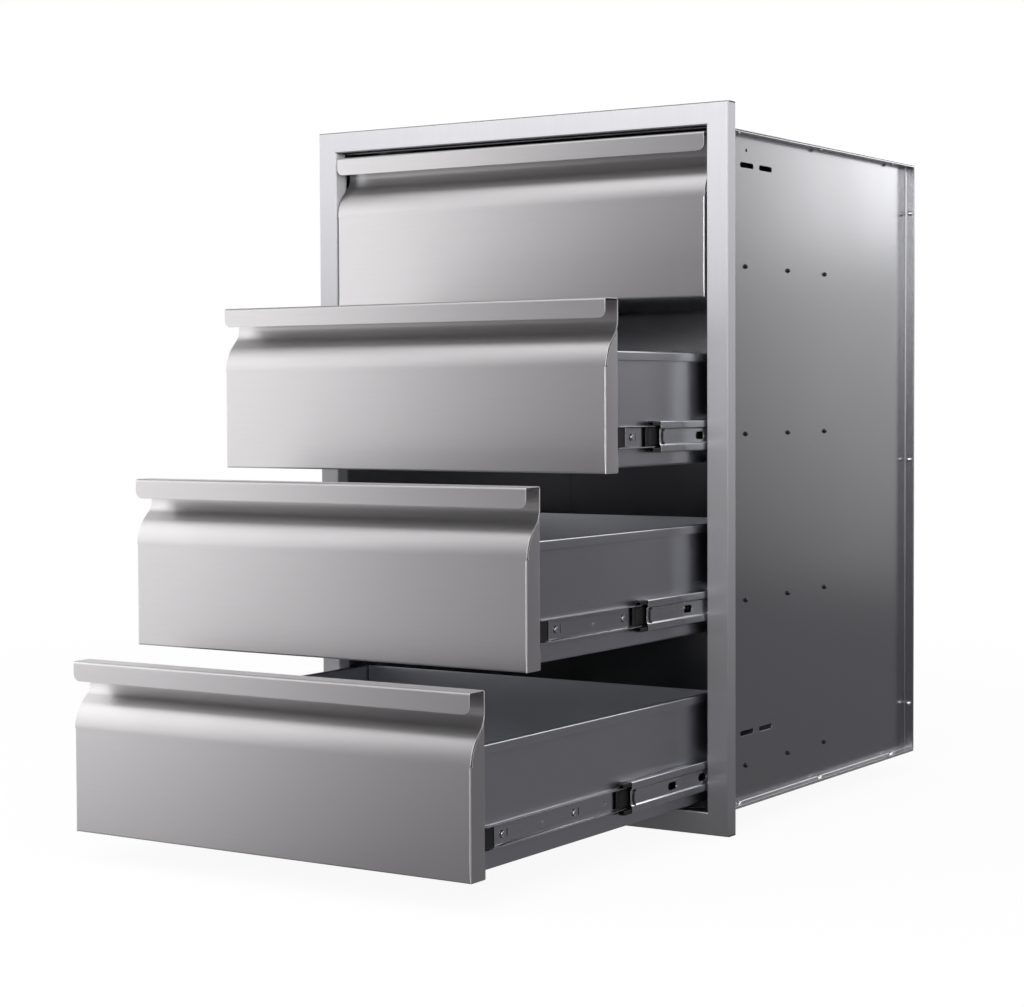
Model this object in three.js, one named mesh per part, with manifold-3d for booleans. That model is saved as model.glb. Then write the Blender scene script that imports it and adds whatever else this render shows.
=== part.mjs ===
// Outdoor kitchen drawer unit: a raised face frame, a folded sheet cabinet behind it and four drawers on
// three-part telescopic slides. Millimetres, +X to the right, +Y into the unit, +Z up.
// It is drawn from the face frame's front face and underside, then moved so that its origin lies in the
// middle of the bottom rail's landing lip, which meets the counter.
import * as THREE from "three";
import { mergeVertices } from "three/addons/utils/BufferGeometryUtils.js";
import Module from "manifold-3d";

const wasm = await Module();
wasm.setup();

// Face frame
const frameWidth = 600;
const frameHeight = 864;
const frameDepth = 20.5;
const sideBorder = 28;
const topBorder = 27;
const bottomBorder = 27.5;
const frameSheet = 1.5;
const landingLip = 12;
const lipSlot = 3;

// Cabinet, its depth measured from the face frame's front face
const cabinetDepth = 582;
const cabinetSheet = 1.5;
const cabinetFlange = 12.5;
const floorDrop = 3;
const backFlange = 10;

// Mounting slots and the small hole in each side panel, measured from the face frame's back
const slotLength = 35;
const slotHeight = 6.2;
const slotSetback = 79.5;
const slotPitch = 50;
const topSlotDrop = 39.3;
const bottomSlotRise = 85.5;
const smallHoleRadius = 2.2;
const smallHoleSetback = 78.4;
const smallHoleDrop = 21;

// Fasteners
const rivetRadius = 1.6;
const rivetHeadRadius = 3;
const rivetHeadHeight = 1.2;
const screwRadius = 2;
const screwHeadRadius = 3.5;
const screwHeadHeight = 1.2;
const screwTip = 2.5;
const boxScrewTip = 0.6;

// Clearances: between two sheets that lie on each other, between sliding parts, and round a fastener
const seam = 0.3;
const runGap = 0.3;
const holeGap = 0.3;

// Bends: the inside radius of a folded sheet and of a rolled slide member
const sheetBend = 0.7;
const slideBend = 0.4;

// Drawer fronts
const drawerCount = 4;
const bottomGap = 3.5;
const topGap = 6.5;
const frontGap = 8.5;
const frontSideGap = 2.75;
const frontSheet = 1.5;
const frontDepth = 27;
const recessHeight = 33.3;
const slopeAngle = Math.PI / 4;
const curveRadius = 40;
const lipHeight = 22.5;
const lipCorner = 13;
const bottomReturnLip = 18;
const sideReturnLip = 16.5;

// Drawer boxes
const boxSheet = 1.2;
const boxRise = 5.5;
const boxHeight = 130;
const boxOverhang = 5;
const rimWidth = 4;
const rimDrop = 10;

// Slides
const slideThickness = 12.7;
const slideRise = 39;
const slideSetback = 35;
const rearRoom = 47;
const slideSheet = 1.2;
const outerHeight = 45.6;
const outerReach = 8.9;
const middleHeight = 36;
const middleReach = 8.9;
const middleSetback = 43;
const middleRearInset = 17;
const embossHeight = 16;
const embossDepth = 1.5;
const innerHeight = 25;
const innerReach = 6;
const accessSlotLength = 20;
const accessSlotHeight = 9;
const accessSlotSetback = 95;
const accessSlotPitch = 73;
const accessSlotCount = 4;
const innerHoleRadius = 2;
const innerHoleSetback = 113;
const endCapLength = 15;
const retainerTongue = 25;
const retainerCollar = 16;
const retainerPlug = 10;

// Where the slide screws sit, as shares of the slide's length, and the rivets, as shares of the panel edge
const outerScrewShares = [0.123, 0.354, 0.567];
const innerScrewShares = [0.07, 0.354, 0.638];
const levelRivetShares = [0.08, 0.484, 0.889];
const uprightRivetShares = [0.08, 0.5, 0.92];

// How far each drawer stands open, top drawer first, as shares of the slide's full travel, and how much
// of its drawer's opening each pair of middle members has followed
const openShares = [0, 0.456, 0.78, 0.992];
const followShares = [0.5, 0.807, 0.549, 0.507];

// Fineness of the round stretches, and how far a cut runs past what it cuts
const bendSteps = 2;
const curveSteps = 6;
const roundSides = 6;
const overrun = 5;

// Sizes that follow
const openingWidth = frameWidth - 2 * sideBorder;
const openingHeight = frameHeight - topBorder - bottomBorder;
const frontGaps = (drawerCount - 1) * frontGap;
const frontHeight = (openingHeight - bottomGap - topGap - frontGaps) / drawerCount;
const frontWidth = openingWidth - 2 * frontSideGap;
const drawerPitch = frontHeight + frontGap;
const cabinetHalf = openingWidth / 2;
const panelFace = cabinetHalf + cabinetSheet;
const flangeEdge = panelFace + cabinetFlange;
const cabinetTop = frameHeight - topBorder;
const cabinetBottom = bottomBorder - floorDrop;
const cabinetFront = frameDepth + seam;
const panelRear = cabinetDepth - cabinetSheet - seam;
const panelLow = cabinetBottom + cabinetSheet + seam;
const panelHigh = cabinetTop - cabinetSheet - seam;
const slideLength = cabinetDepth - slideSetback - rearRoom;
const middleLength = slideLength - middleSetback - middleRearInset;
const boxHalf = cabinetHalf - slideThickness;
const boxFront = frontDepth + seam;
const boxRear = slideSetback + slideLength + boxOverhang;

// Slide section, measured outwards from the drawer box's side
const outerWebFace = slideThickness - seam;
const middleWebFace = outerWebFace - slideSheet - runGap;
const embossFace = middleWebFace - embossDepth;
const middleLipFace = middleWebFace - middleReach;
const innerWebBack = seam;
const innerWebFace = innerWebBack + slideSheet;
const innerEdge = innerWebBack + innerReach;
const innerHalf = innerHeight / 2;
const middleHalf = middleHeight / 2;
const outerHalf = outerHeight / 2;

const brushedSteel = new THREE.MeshStandardMaterial({ color: 0xb4b4b8, roughness: 0.35, metalness: 1 });
const cabinetSteel = new THREE.MeshStandardMaterial({ color: 0x9a9a9c, roughness: 0.4, metalness: 1 });
const zincSteel = new THREE.MeshStandardMaterial({ color: 0x8b8b90, roughness: 0.3, metalness: 1 });
const blackPlastic = new THREE.MeshStandardMaterial({ color: 0x161616, roughness: 0.5, metalness: 0 });

// A geometry as a solid that can be joined and cut
function solidOf(geometry) {
  const bare = geometry.clone();
  bare.deleteAttribute("normal");
  bare.deleteAttribute("uv");
  const merged = mergeVertices(bare);
  const vertProperties = merged.getAttribute("position").array;
  const triVerts = new Uint32Array(merged.index.array);
  return new wasm.Manifold(new wasm.Mesh({ numProp: 3, vertProperties, triVerts }));
}

function geometryOf(solid) {
  const { vertProperties, triVerts } = solid.getMesh();
  const geometry = new THREE.BufferGeometry();
  geometry.setAttribute("position", new THREE.BufferAttribute(vertProperties, 3));
  geometry.setIndex(new THREE.BufferAttribute(triVerts, 1));
  return geometry;
}

function piece(name, solid, material) {
  const mesh = new THREE.Mesh(geometryOf(solid), material);
  mesh.name = name;
  return mesh;
}

const join = (solids) => solids.reduce((whole, solid) => whole.add(solid));
const cut = (solid, tools) => tools.reduce((whole, tool) => whole.subtract(tool), solid);

// An outline extruded between two places on an axis: drawn in Y and Z for x, in X and Z for y, in X and Y
// for z. Each end is written out exactly, so that faces meant to lie in one plane do.
const axisBases = {
  x: new THREE.Matrix4().makeBasis(
    new THREE.Vector3(0, 1, 0),
    new THREE.Vector3(0, 0, 1),
    new THREE.Vector3(1, 0, 0),
  ),
  y: new THREE.Matrix4().makeBasis(
    new THREE.Vector3(1, 0, 0),
    new THREE.Vector3(0, 0, 1),
    new THREE.Vector3(0, -1, 0),
  ),
  z: new THREE.Matrix4(),
};

function extruded(outline, axis, ends) {
  const shape = new THREE.Shape(outline);
  const geometry = new THREE.ExtrudeGeometry(shape, { depth: 1, bevelEnabled: false });
  const along = axis === "y" ? ends.map((end) => -end) : ends;
  const position = geometry.getAttribute("position");
  for (let i = 0; i < position.count; i += 1) {
    position.setZ(i, position.getZ(i) === 0 ? Math.min(...along) : Math.max(...along));
  }
  return solidOf(geometry.applyMatrix4(axisBases[axis]));
}

function block([left, right], depths, [low, high]) {
  const outline = [
    new THREE.Vector2(left, low),
    new THREE.Vector2(right, low),
    new THREE.Vector2(right, high),
    new THREE.Vector2(left, high),
  ];
  return extruded(outline, "y", depths);
}

// A block given for the right hand side, or its mirror image for the left
const sidedBlock = (side, [near, far], depths, heights) =>
  block([side * near, side * far], depths, heights);

// Points on an arc round a centre, from one angle to another
function arcPoints(centre, radius, [from, to], steps) {
  return [...Array(steps + 1).keys()].map((k) => {
    const angle = from + ((to - from) * k) / steps;
    return centre.clone().add(new THREE.Vector2(Math.cos(angle), Math.sin(angle)).multiplyScalar(radius));
  });
}

// A round rod between two places on an axis, centred on the other two coordinates in X, Y, Z order
function rod(axis, radius, ends, [first, second]) {
  const centre = new THREE.Vector2(first, second);
  const outline = arcPoints(centre, radius, [0, 2 * Math.PI], roundSides).slice(1);
  return extruded(outline, axis, ends);
}

// The points of a path with its corners rounded, each with the normal on its left. A corner may state
// its own inside radius and number of steps.
function roundedPath(path, thickness, bend) {
  const points = path.map(([a, b]) => new THREE.Vector2(a, b));
  const directions = points.slice(1).map((point, i) => point.clone().sub(points[i]).normalize());
  const leftOf = (direction) => new THREE.Vector2(-direction.y, direction.x);
  const places = [{ point: points[0], normal: leftOf(directions[0]) }];
  for (let i = 1; i < points.length - 1; i += 1) {
    const before = directions[i - 1];
    const turn = Math.atan2(before.cross(directions[i]), before.dot(directions[i]));
    const side = Math.sign(turn);
    const { inside = bend, steps = bendSteps } = path[i][2] ?? {};
    const radius = side > 0 ? inside + thickness : inside;
    const normal = leftOf(before);
    const start = points[i].clone().addScaledVector(before, -radius * Math.tan(Math.abs(turn) / 2));
    const centre = start.clone().addScaledVector(normal, side * radius);
    for (let k = 0; k <= steps; k += 1) {
      const turned = normal.clone().rotateAround(new THREE.Vector2(), (turn * k) / steps);
      places.push({ point: centre.clone().addScaledVector(turned, -side * radius), normal: turned });
    }
  }
  places.push({ point: points.at(-1), normal: leftOf(directions.at(-1)) });
  return places;
}

// The two faces of a folded sheet, one on the path and the other on the path's left
function sheetFaces(path, thickness, bend) {
  const places = roundedPath(path, thickness, bend);
  return {
    face: places.map(({ point }) => point),
    back: places.map(({ point, normal }) => point.clone().addScaledVector(normal, thickness)),
  };
}

function foldedSheet(path, thickness, bend) {
  const { face, back } = sheetFaces(path, thickness, bend);
  return [...face, ...back.reverse()];
}

const mirrored = (outline, side) => outline.map((point) => new THREE.Vector2(side * point.x, point.y));

// One mitred rail of the face frame. Its profile is drawn from its outer edge inwards and from its front
// back, and it runs along the third axis, so that the turn below lays it along its side of the frame.
function faceRail(name, border, length, startBorder, endBorder, inward, corner) {
  const profile = [
    [landingLip, frameDepth],
    [0, frameDepth],
    [0, 0],
    [border, 0],
    [border, frameDepth],
    [landingLip + lipSlot, frameDepth],
  ];
  const shape = new THREE.Shape(foldedSheet(profile, frameSheet, sheetBend));
  const geometry = new THREE.ExtrudeGeometry(shape, { depth: length, bevelEnabled: false });
  const position = geometry.getAttribute("position");
  for (let i = 0; i < position.count; i += 1) {
    const atStart = position.getZ(i) < length / 2;
    const mitre = (position.getX(i) * (atStart ? startBorder : endBorder)) / border + seam / 2;
    position.setZ(i, atStart ? mitre : length - mitre);
  }
  const mesh = piece(name, solidOf(geometry), brushedSteel);
  const depth = new THREE.Vector3(0, 1, 0);
  const along = inward.clone().cross(depth);
  mesh.quaternion.setFromRotationMatrix(new THREE.Matrix4().makeBasis(inward, depth, along));
  mesh.position.copy(corner);
  return mesh;
}

function faceFrame() {
  const half = frameWidth / 2;
  const right = new THREE.Vector3(1, 0, 0);
  const up = new THREE.Vector3(0, 0, 1);
  const left = right.clone().negate();
  const down = up.clone().negate();
  const lowLeft = new THREE.Vector3(-half, 0, 0);
  const lowRight = new THREE.Vector3(half, 0, 0);
  const highLeft = new THREE.Vector3(-half, 0, frameHeight);
  const highRight = new THREE.Vector3(half, 0, frameHeight);
  const level = [frameWidth, sideBorder, sideBorder];
  return [
    faceRail("face_frame_bottom", bottomBorder, ...level, up, lowRight),
    faceRail("face_frame_top", topBorder, ...level, down, highLeft),
    faceRail("face_frame_left", sideBorder, frameHeight, bottomBorder, topBorder, right, lowLeft),
    faceRail("face_frame_right", sideBorder, frameHeight, topBorder, bottomBorder, left, highRight),
  ];
}

const drawerBottom = (index) =>
  bottomBorder + bottomGap + (drawerCount - 1 - index) * drawerPitch;
const drawerIndexes = [...Array(drawerCount).keys()];

// Places along the panels' edges
const alongDepth = (share) => cabinetFront + share * (panelRear - cabinetFront);
const alongHeight = (share) => panelLow + share * (panelHigh - panelLow);
const flangeMiddle = panelFace + cabinetFlange / 2;

function slotOutline(middleY, middleZ) {
  const radius = slotHeight / 2;
  const reach = slotLength / 2 - radius;
  const rear = new THREE.Vector2(middleY + reach, middleZ);
  const front = new THREE.Vector2(middleY - reach, middleZ);
  return [
    ...arcPoints(rear, radius, [-Math.PI / 2, Math.PI / 2], 2 * bendSteps),
    ...arcPoints(front, radius, [Math.PI / 2, (3 * Math.PI) / 2], 2 * bendSteps),
  ];
}

function sidePanelCuts(side) {
  const through = [side * (cabinetHalf - overrun), side * (panelFace + overrun)];
  const tools = [];
  for (const level of [cabinetTop - topSlotDrop, cabinetBottom + bottomSlotRise]) {
    for (const step of [0, 1]) {
      const outline = slotOutline(frameDepth + slotSetback + step * slotPitch, level);
      tools.push(extruded(outline, "x", through));
    }
  }
  const smallHole = [frameDepth + smallHoleSetback, cabinetTop - smallHoleDrop];
  tools.push(rod("x", smallHoleRadius, through, smallHole));
  for (const index of drawerIndexes) {
    for (const share of outerScrewShares) {
      const place = [slideSetback + share * slideLength, drawerBottom(index) + slideRise];
      tools.push(rod("x", screwRadius + holeGap, through, place));
    }
  }
  for (const share of levelRivetShares) {
    const place = [side * flangeMiddle, alongDepth(share)];
    for (const [low, high] of [
      [panelLow - overrun, panelLow + cabinetSheet + overrun],
      [panelHigh - cabinetSheet - overrun, panelHigh + overrun],
    ]) {
      tools.push(rod("z", rivetRadius + holeGap, [low, high], place));
    }
  }
  for (const share of uprightRivetShares) {
    const run = [panelRear - cabinetSheet - overrun, panelRear + overrun];
    tools.push(rod("y", rivetRadius + holeGap, run, [side * flangeMiddle, alongHeight(share)]));
  }
  return tools;
}

// A side panel with flanges turned outwards at its top, bottom, front and rear, hollowed from its outside
function sidePanel(name, side) {
  const facesTo = (edge) => {
    const section = [
      [edge, panelHigh],
      [cabinetHalf, panelHigh],
      [cabinetHalf, panelLow],
      [edge, panelLow],
    ];
    return sheetFaces(section, cabinetSheet, sheetBend);
  };
  const whole = extruded(mirrored(facesTo(flangeEdge).face, side), "y", [cabinetFront, panelRear]);
  const hollowRun = [cabinetFront + cabinetSheet, panelRear - cabinetSheet];
  const hollow = extruded(mirrored(facesTo(flangeEdge + overrun).back, side), "y", hollowRun);
  return piece(name, cut(whole, [hollow, ...sidePanelCuts(side)]), cabinetSteel);
}

// A rivet as part of the outer sheet: its shank passes the flange, and its tail is spread beyond it
function rivet(axis, sheetPlace, towards, place) {
  const tail = sheetPlace + towards * (seam + cabinetSheet + seam);
  const root = sheetPlace - (towards * cabinetSheet) / 2;
  return join([
    rod(axis, rivetRadius, [root, tail + (towards * rivetHeadHeight) / 2], place),
    rod(axis, rivetHeadRadius, [tail, tail + towards * rivetHeadHeight], place),
  ]);
}

function levelRivets(sheetPlace, towards) {
  return levelRivetShares.flatMap((share) =>
    [-1, 1].map((side) => rivet("z", sheetPlace, towards, [side * flangeMiddle, alongDepth(share)])),
  );
}

// The top or bottom panel, with a flange turned away from the inside behind the face frame
function levelPanel(name, inside, outwards) {
  const section = [
    [cabinetFront, inside + outwards * (cabinetFlange + cabinetSheet)],
    [cabinetFront, inside],
    [cabinetDepth, inside],
  ];
  const path = outwards > 0 ? section : section.reverse();
  const panel = extruded(foldedSheet(path, cabinetSheet, sheetBend), "x", [-flangeEdge, flangeEdge]);
  return piece(name, join([panel, ...levelRivets(inside, -outwards)]), cabinetSteel);
}

// The back panel, whose top and bottom flanges turn forwards between the side panels
function backPanel() {
  const section = [
    [cabinetDepth - backFlange, panelLow],
    [cabinetDepth, panelLow],
    [cabinetDepth, panelHigh],
    [cabinetDepth - backFlange, panelHigh],
  ];
  const folded = extruded(foldedSheet(section, cabinetSheet, sheetBend), "x", [-flangeEdge, flangeEdge]);
  const relief = [-1, 1].map((side) =>
    sidedBlock(
      side,
      [cabinetHalf - seam, flangeEdge + overrun],
      [cabinetDepth - backFlange - overrun, cabinetDepth - cabinetSheet],
      [panelLow - overrun, panelHigh + overrun],
    ),
  );
  const face = cabinetDepth - cabinetSheet;
  const rivets = uprightRivetShares.flatMap((share) =>
    [-1, 1].map((side) => rivet("y", face, -1, [side * flangeMiddle, alongHeight(share)])),
  );
  return piece("back_panel", join([cut(folded, relief), ...rivets]), cabinetSteel);
}

// A drawer front folded from one sheet, drawn from its face and underside: grip lip, grip top, recess,
// slope, face, bottom return. Its sides are closed by returns whose rear lips take the drawer box, and it
// is hollowed from behind.
function drawerFront(name) {
  const half = frontWidth / 2;
  const recess = frontDepth - frontSheet;
  const slopeTop = frontHeight - recessHeight;
  const slopeFoot = slopeTop - recess / Math.tan(slopeAngle);
  const gripUnderside = frontHeight - frontSheet;
  const lipEnd = frontHeight - lipHeight;
  const path = [
    [0, lipEnd],
    [0, gripUnderside],
    [recess, gripUnderside],
    [recess, slopeTop],
    [0, slopeFoot, { inside: curveRadius - frontSheet, steps: curveSteps }],
    [0, 0],
    [frontDepth, 0],
    [frontDepth, bottomReturnLip],
  ];
  const { face, back } = sheetFaces(path, frontSheet, sheetBend);
  const above = back.filter((point) => point.y > slopeTop);
  const whole = extruded([...face, ...above.reverse()], "x", [-half, half]);
  const inner = half - frontSheet;
  const cavityTop = slopeTop - frontSheet / Math.sin(slopeAngle);
  const below = back.filter((point) => point.y < cavityTop);
  const cavity = extruded([new THREE.Vector2(recess, cavityTop), ...below], "x", [-inner, inner]);
  const mouth = block(
    [sideReturnLip - inner, inner - sideReturnLip],
    [recess - frontSheet, frontDepth + overrun],
    [bottomReturnLip, cavityTop],
  );
  return piece(name, cut(whole, [cavity, mouth, ...lipCorners(half, lipEnd)]), brushedSteel);
}

// What is taken off the grip lip's two lower corners to round them
function lipCorners(half, lipEnd) {
  return [-1, 1].map((side) => {
    const centre = new THREE.Vector2(half - lipCorner, lipEnd + lipCorner);
    const outline = [
      ...arcPoints(centre, lipCorner, [-Math.PI / 2, 0], curveSteps),
      new THREE.Vector2(half + overrun, centre.y),
      new THREE.Vector2(half + overrun, lipEnd - overrun),
      new THREE.Vector2(centre.x, lipEnd - overrun),
    ];
    return extruded(mirrored(outline, side), "y", [-frontSheet - overrun, overrun]);
  });
}

const screwDepth = (share) => slideSetback + share * slideLength;

// A drawer box with side rims folded outwards and down, hollowed from above
function drawerBox(name) {
  const inside = boxHalf - boxSheet;
  const rim = boxHalf + rimWidth;
  const top = boxRise + boxHeight;
  const floor = boxRise + boxSheet;
  const section = [
    [rim, top - rimDrop],
    [rim, top],
    [inside, top],
    [inside, floor],
    [-inside, floor],
    [-inside, top],
    [-rim, top],
    [-rim, top - rimDrop],
  ];
  const { face, back } = sheetFaces(section, boxSheet, sheetBend);
  const outer = face.filter((point) => Math.abs(point.x) > boxHalf);
  const whole = extruded([...outer, ...back.reverse()], "y", [boxFront, boxRear]);
  const inner = face.filter((point) => point.y < top - rimDrop && Math.abs(point.x) < boxHalf);
  const mouth = [
    new THREE.Vector2(-inside, top + overrun),
    new THREE.Vector2(inside, top + overrun),
  ];
  const hollow = extruded([...inner, ...mouth], "y", [boxFront + boxSheet, boxRear - boxSheet]);
  const holes = innerScrewShares.flatMap((share) =>
    [-1, 1].map((side) => {
      const run = [side * (inside - overrun), side * (boxHalf + overrun)];
      return rod("x", screwRadius + holeGap, run, [screwDepth(share), slideRise]);
    }),
  );
  return piece(name, cut(whole, [hollow, ...holes]), brushedSteel);
}

// A slide member's section, measured outwards from the box side and up from the slide's middle
function slideOutline(section, side) {
  const path = section.map(([out, up]) => [boxHalf + out, up]);
  return mirrored(foldedSheet(path, slideSheet, slideBend), side);
}

function slideScrew(side, [headFace, headSeat, tip], place) {
  const across = (out) => side * (boxHalf + out);
  return join([
    rod("x", screwHeadRadius, [across(headFace), across(headSeat)], place),
    rod("x", screwRadius, [across((headFace + headSeat) / 2), across(tip)], place),
  ]);
}

// The cabinet member: a channel open towards the drawer, screwed to the side panel
function outerMember(name, side) {
  const lipFace = outerWebFace - outerReach;
  const lipEdge = middleHalf + runGap;
  const section = [
    [lipFace, -lipEdge],
    [lipFace, -outerHalf],
    [outerWebFace, -outerHalf],
    [outerWebFace, outerHalf],
    [lipFace, outerHalf],
    [lipFace, lipEdge],
  ];
  const channel = extruded(slideOutline(section, side), "y", [0, slideLength]);
  const seat = outerWebFace - slideSheet;
  const tip = slideThickness + cabinetSheet + screwTip;
  const screws = outerScrewShares.map((share) =>
    slideScrew(side, [seat - screwHeadHeight, seat + slideSheet / 2, tip], [share * slideLength, 0]),
  );
  return piece(name, join([channel, ...screws]), zincSteel);
}

// The middle member: a channel nested in the outer one, its web embossed and pierced by access slots
function middleMember(name, side) {
  const lipEdge = innerHalf + runGap;
  const embossHalf = embossHeight / 2;
  const embossFoot = embossHalf + embossDepth;
  const section = [
    [middleLipFace, -lipEdge],
    [middleLipFace, -middleHalf],
    [middleWebFace, -middleHalf],
    [middleWebFace, -embossFoot],
    [embossFace, -embossHalf],
    [embossFace, embossHalf],
    [middleWebFace, embossFoot],
    [middleWebFace, middleHalf],
    [middleLipFace, middleHalf],
    [middleLipFace, lipEdge],
  ];
  const channel = extruded(slideOutline(section, side), "y", [0, middleLength]);
  const slots = [...Array(accessSlotCount).keys()].map((step) => {
    const place = accessSlotSetback + step * accessSlotPitch;
    return sidedBlock(
      side,
      [boxHalf + embossFace - overrun, boxHalf + embossFace + overrun],
      [place - accessSlotLength / 2, place + accessSlotLength / 2],
      [-accessSlotHeight / 2, accessSlotHeight / 2],
    );
  });
  return piece(name, cut(channel, slots), zincSteel);
}

// The drawer member: a channel open outwards, screwed to the drawer box
function innerMember(name, side) {
  const section = [
    [innerEdge, innerHalf],
    [innerWebBack, innerHalf],
    [innerWebBack, -innerHalf],
    [innerEdge, -innerHalf],
  ];
  const channel = extruded(slideOutline(section, side), "y", [0, slideLength]);
  const run = [side * (boxHalf - overrun), side * (boxHalf + innerEdge + overrun)];
  const hole = rod("x", innerHoleRadius, run, [innerHoleSetback, 0]);
  const headFace = innerWebFace + screwHeadHeight;
  const tip = -boxSheet - boxScrewTip;
  const screws = innerScrewShares.map((share) =>
    slideScrew(side, [headFace, innerWebFace - slideSheet / 2, tip], [share * slideLength, 0]),
  );
  return piece(name, join([cut(channel, [hole]), ...screws]), zincSteel);
}

// The plastic stop in the front end of the drawer member's channel
function endCap(name, side) {
  const half = innerHalf - slideSheet - runGap;
  const reach = [boxHalf + innerWebFace + runGap, boxHalf + innerEdge];
  return piece(name, sidedBlock(side, reach, [0, endCapLength], [-half, half]), blackPlastic);
}

// The plastic ball retainer: a tongue over the drawer member, a collar round it and two plugs that hold
// in the middle member's front end
function ballRetainer(name, side) {
  const sided = (near, far, depths, heights) =>
    sidedBlock(side, [boxHalf + near, boxHalf + far], depths, heights);
  const tongueFace = innerWebFace + screwHeadHeight + runGap;
  const collarFace = middleWebFace - runGap;
  const bridge = innerEdge + runGap;
  const tongueHalf = innerHalf - slideSheet - runGap;
  const collarHalf = middleHalf - runGap;
  const plugFace = middleWebFace - slideSheet - runGap;
  const plugBack = middleLipFace + slideSheet + runGap;
  const plugHalf = middleHalf - slideSheet - runGap;
  const collarRun = [-retainerCollar, -seam];
  const parts = [
    sided(tongueFace, collarFace, [-retainerTongue, -seam], [-tongueHalf, tongueHalf]),
    sided(bridge, collarFace, collarRun, [-collarHalf, collarHalf]),
  ];
  for (const [near, far] of [
    [innerHalf + runGap, collarHalf],
    [-collarHalf, -innerHalf - runGap],
  ]) {
    parts.push(sided(middleLipFace, collarFace, collarRun, [near, far]));
  }
  for (const [near, far] of [
    [innerHalf + runGap, plugHalf],
    [-plugHalf, -innerHalf - runGap],
  ]) {
    parts.push(sided(plugBack, plugFace, [-retainerCollar, retainerPlug], [near, far]));
  }
  return piece(name, join(parts), blackPlastic);
}

// A group of pieces moved together
function placed(pieces, x, y, z) {
  const group = new THREE.Group();
  group.add(...pieces);
  group.position.set(x, y, z);
  return group;
}

function drawerSet(index) {
  const number = index + 1;
  const bottom = drawerBottom(index);
  const level = bottom + slideRise;
  const opening = openShares[index] * slideLength;
  const middleStart = slideSetback + middleSetback - followShares[index] * opening;
  const sides = [
    ["left", -1],
    ["right", 1],
  ];
  const onBothSides = (make, what) =>
    sides.map(([word, side]) => make(`slide_${number}_${word}_${what}`, side));
  const drawer = [drawerFront(`drawer_front_${number}`), drawerBox(`drawer_box_${number}`)];
  const onDrawer = [
    ...onBothSides(innerMember, "drawer_member"),
    ...onBothSides(endCap, "end_cap"),
  ];
  const onMiddle = [
    ...onBothSides(middleMember, "middle_member"),
    ...onBothSides(ballRetainer, "ball_retainer"),
  ];
  return [
    placed(drawer, 0, -opening, bottom),
    placed(onDrawer, 0, slideSetback - opening, level),
    placed(onMiddle, 0, middleStart, level),
    placed(onBothSides(outerMember, "cabinet_member"), 0, slideSetback, level),
  ];
}

const unit = new THREE.Group();
unit.position.set(0, -frameDepth, -landingLip / 2);
unit.add(...faceFrame());
unit.add(sidePanel("side_panel_left", -1), sidePanel("side_panel_right", 1));
unit.add(levelPanel("top_panel", cabinetTop - cabinetSheet, 1));
unit.add(levelPanel("bottom_panel", cabinetBottom + cabinetSheet, -1));
unit.add(backPanel());
unit.add(...drawerIndexes.flatMap(drawerSet));

export default unit;
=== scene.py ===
"""The outdoor kitchen drawer unit's looks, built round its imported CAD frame."""

import math

import bmesh
import bpy
from bpy.props import FloatProperty, FloatVectorProperty, IntProperty, PointerProperty
from mathutils import Matrix, Vector


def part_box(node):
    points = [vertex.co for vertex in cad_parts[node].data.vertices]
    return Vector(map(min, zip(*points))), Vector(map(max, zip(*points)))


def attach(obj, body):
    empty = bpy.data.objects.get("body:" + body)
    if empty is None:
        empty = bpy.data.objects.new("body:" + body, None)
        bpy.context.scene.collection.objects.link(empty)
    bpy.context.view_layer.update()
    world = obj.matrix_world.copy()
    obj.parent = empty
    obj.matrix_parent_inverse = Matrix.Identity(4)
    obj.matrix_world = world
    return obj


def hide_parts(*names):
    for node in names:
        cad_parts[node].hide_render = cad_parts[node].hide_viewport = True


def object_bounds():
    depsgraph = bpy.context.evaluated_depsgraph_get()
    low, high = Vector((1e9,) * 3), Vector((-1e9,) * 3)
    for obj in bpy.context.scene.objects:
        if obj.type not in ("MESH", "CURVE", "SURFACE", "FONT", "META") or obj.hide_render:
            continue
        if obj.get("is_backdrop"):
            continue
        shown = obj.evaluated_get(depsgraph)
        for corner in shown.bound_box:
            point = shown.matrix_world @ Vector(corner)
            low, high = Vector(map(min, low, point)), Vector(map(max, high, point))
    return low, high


bl_info = {
    "name": "Outdoor Kitchen Drawer Unit",
    "version": (1, 0, 0),
    "blender": (4, 5, 0),
    "location": "3D View > Sidebar > Drawer Unit",
    "description": "Folded sheets, slides, fasteners and finishes of a four drawer unit",
    "category": "Object",
}

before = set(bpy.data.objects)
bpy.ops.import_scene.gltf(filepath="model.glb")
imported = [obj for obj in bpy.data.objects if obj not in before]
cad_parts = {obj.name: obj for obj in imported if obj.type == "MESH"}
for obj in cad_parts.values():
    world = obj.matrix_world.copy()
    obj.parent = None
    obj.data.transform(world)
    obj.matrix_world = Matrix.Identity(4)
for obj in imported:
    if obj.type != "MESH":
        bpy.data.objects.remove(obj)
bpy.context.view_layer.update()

# The shapes below are drawn in millimetres
MM = 0.001
SIDES = (("left", -1), ("right", 1))
DRAWERS = (1, 2, 3, 4)
NEAR = 0.02  # two places closer than this are the same
DOUBLE = 0.001  # vertices closer than this are merged
ON_PLANE = 0.0001  # vertices closer than this to a cutting plane are on it
LEAST_FOLD = 0.05  # radians, under which two faces count as flat
CUT_ANGLE = 50  # degrees, over which an edge is a cut one
FULL_TURN = 2 * math.pi

# Sheet thicknesses and the outside radius of a fold
FRAME_SHEET = 1.5
BOX_SHEET = 1.2
SLIDE_SHEET = 1.2
FOLD = 2.0

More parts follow.
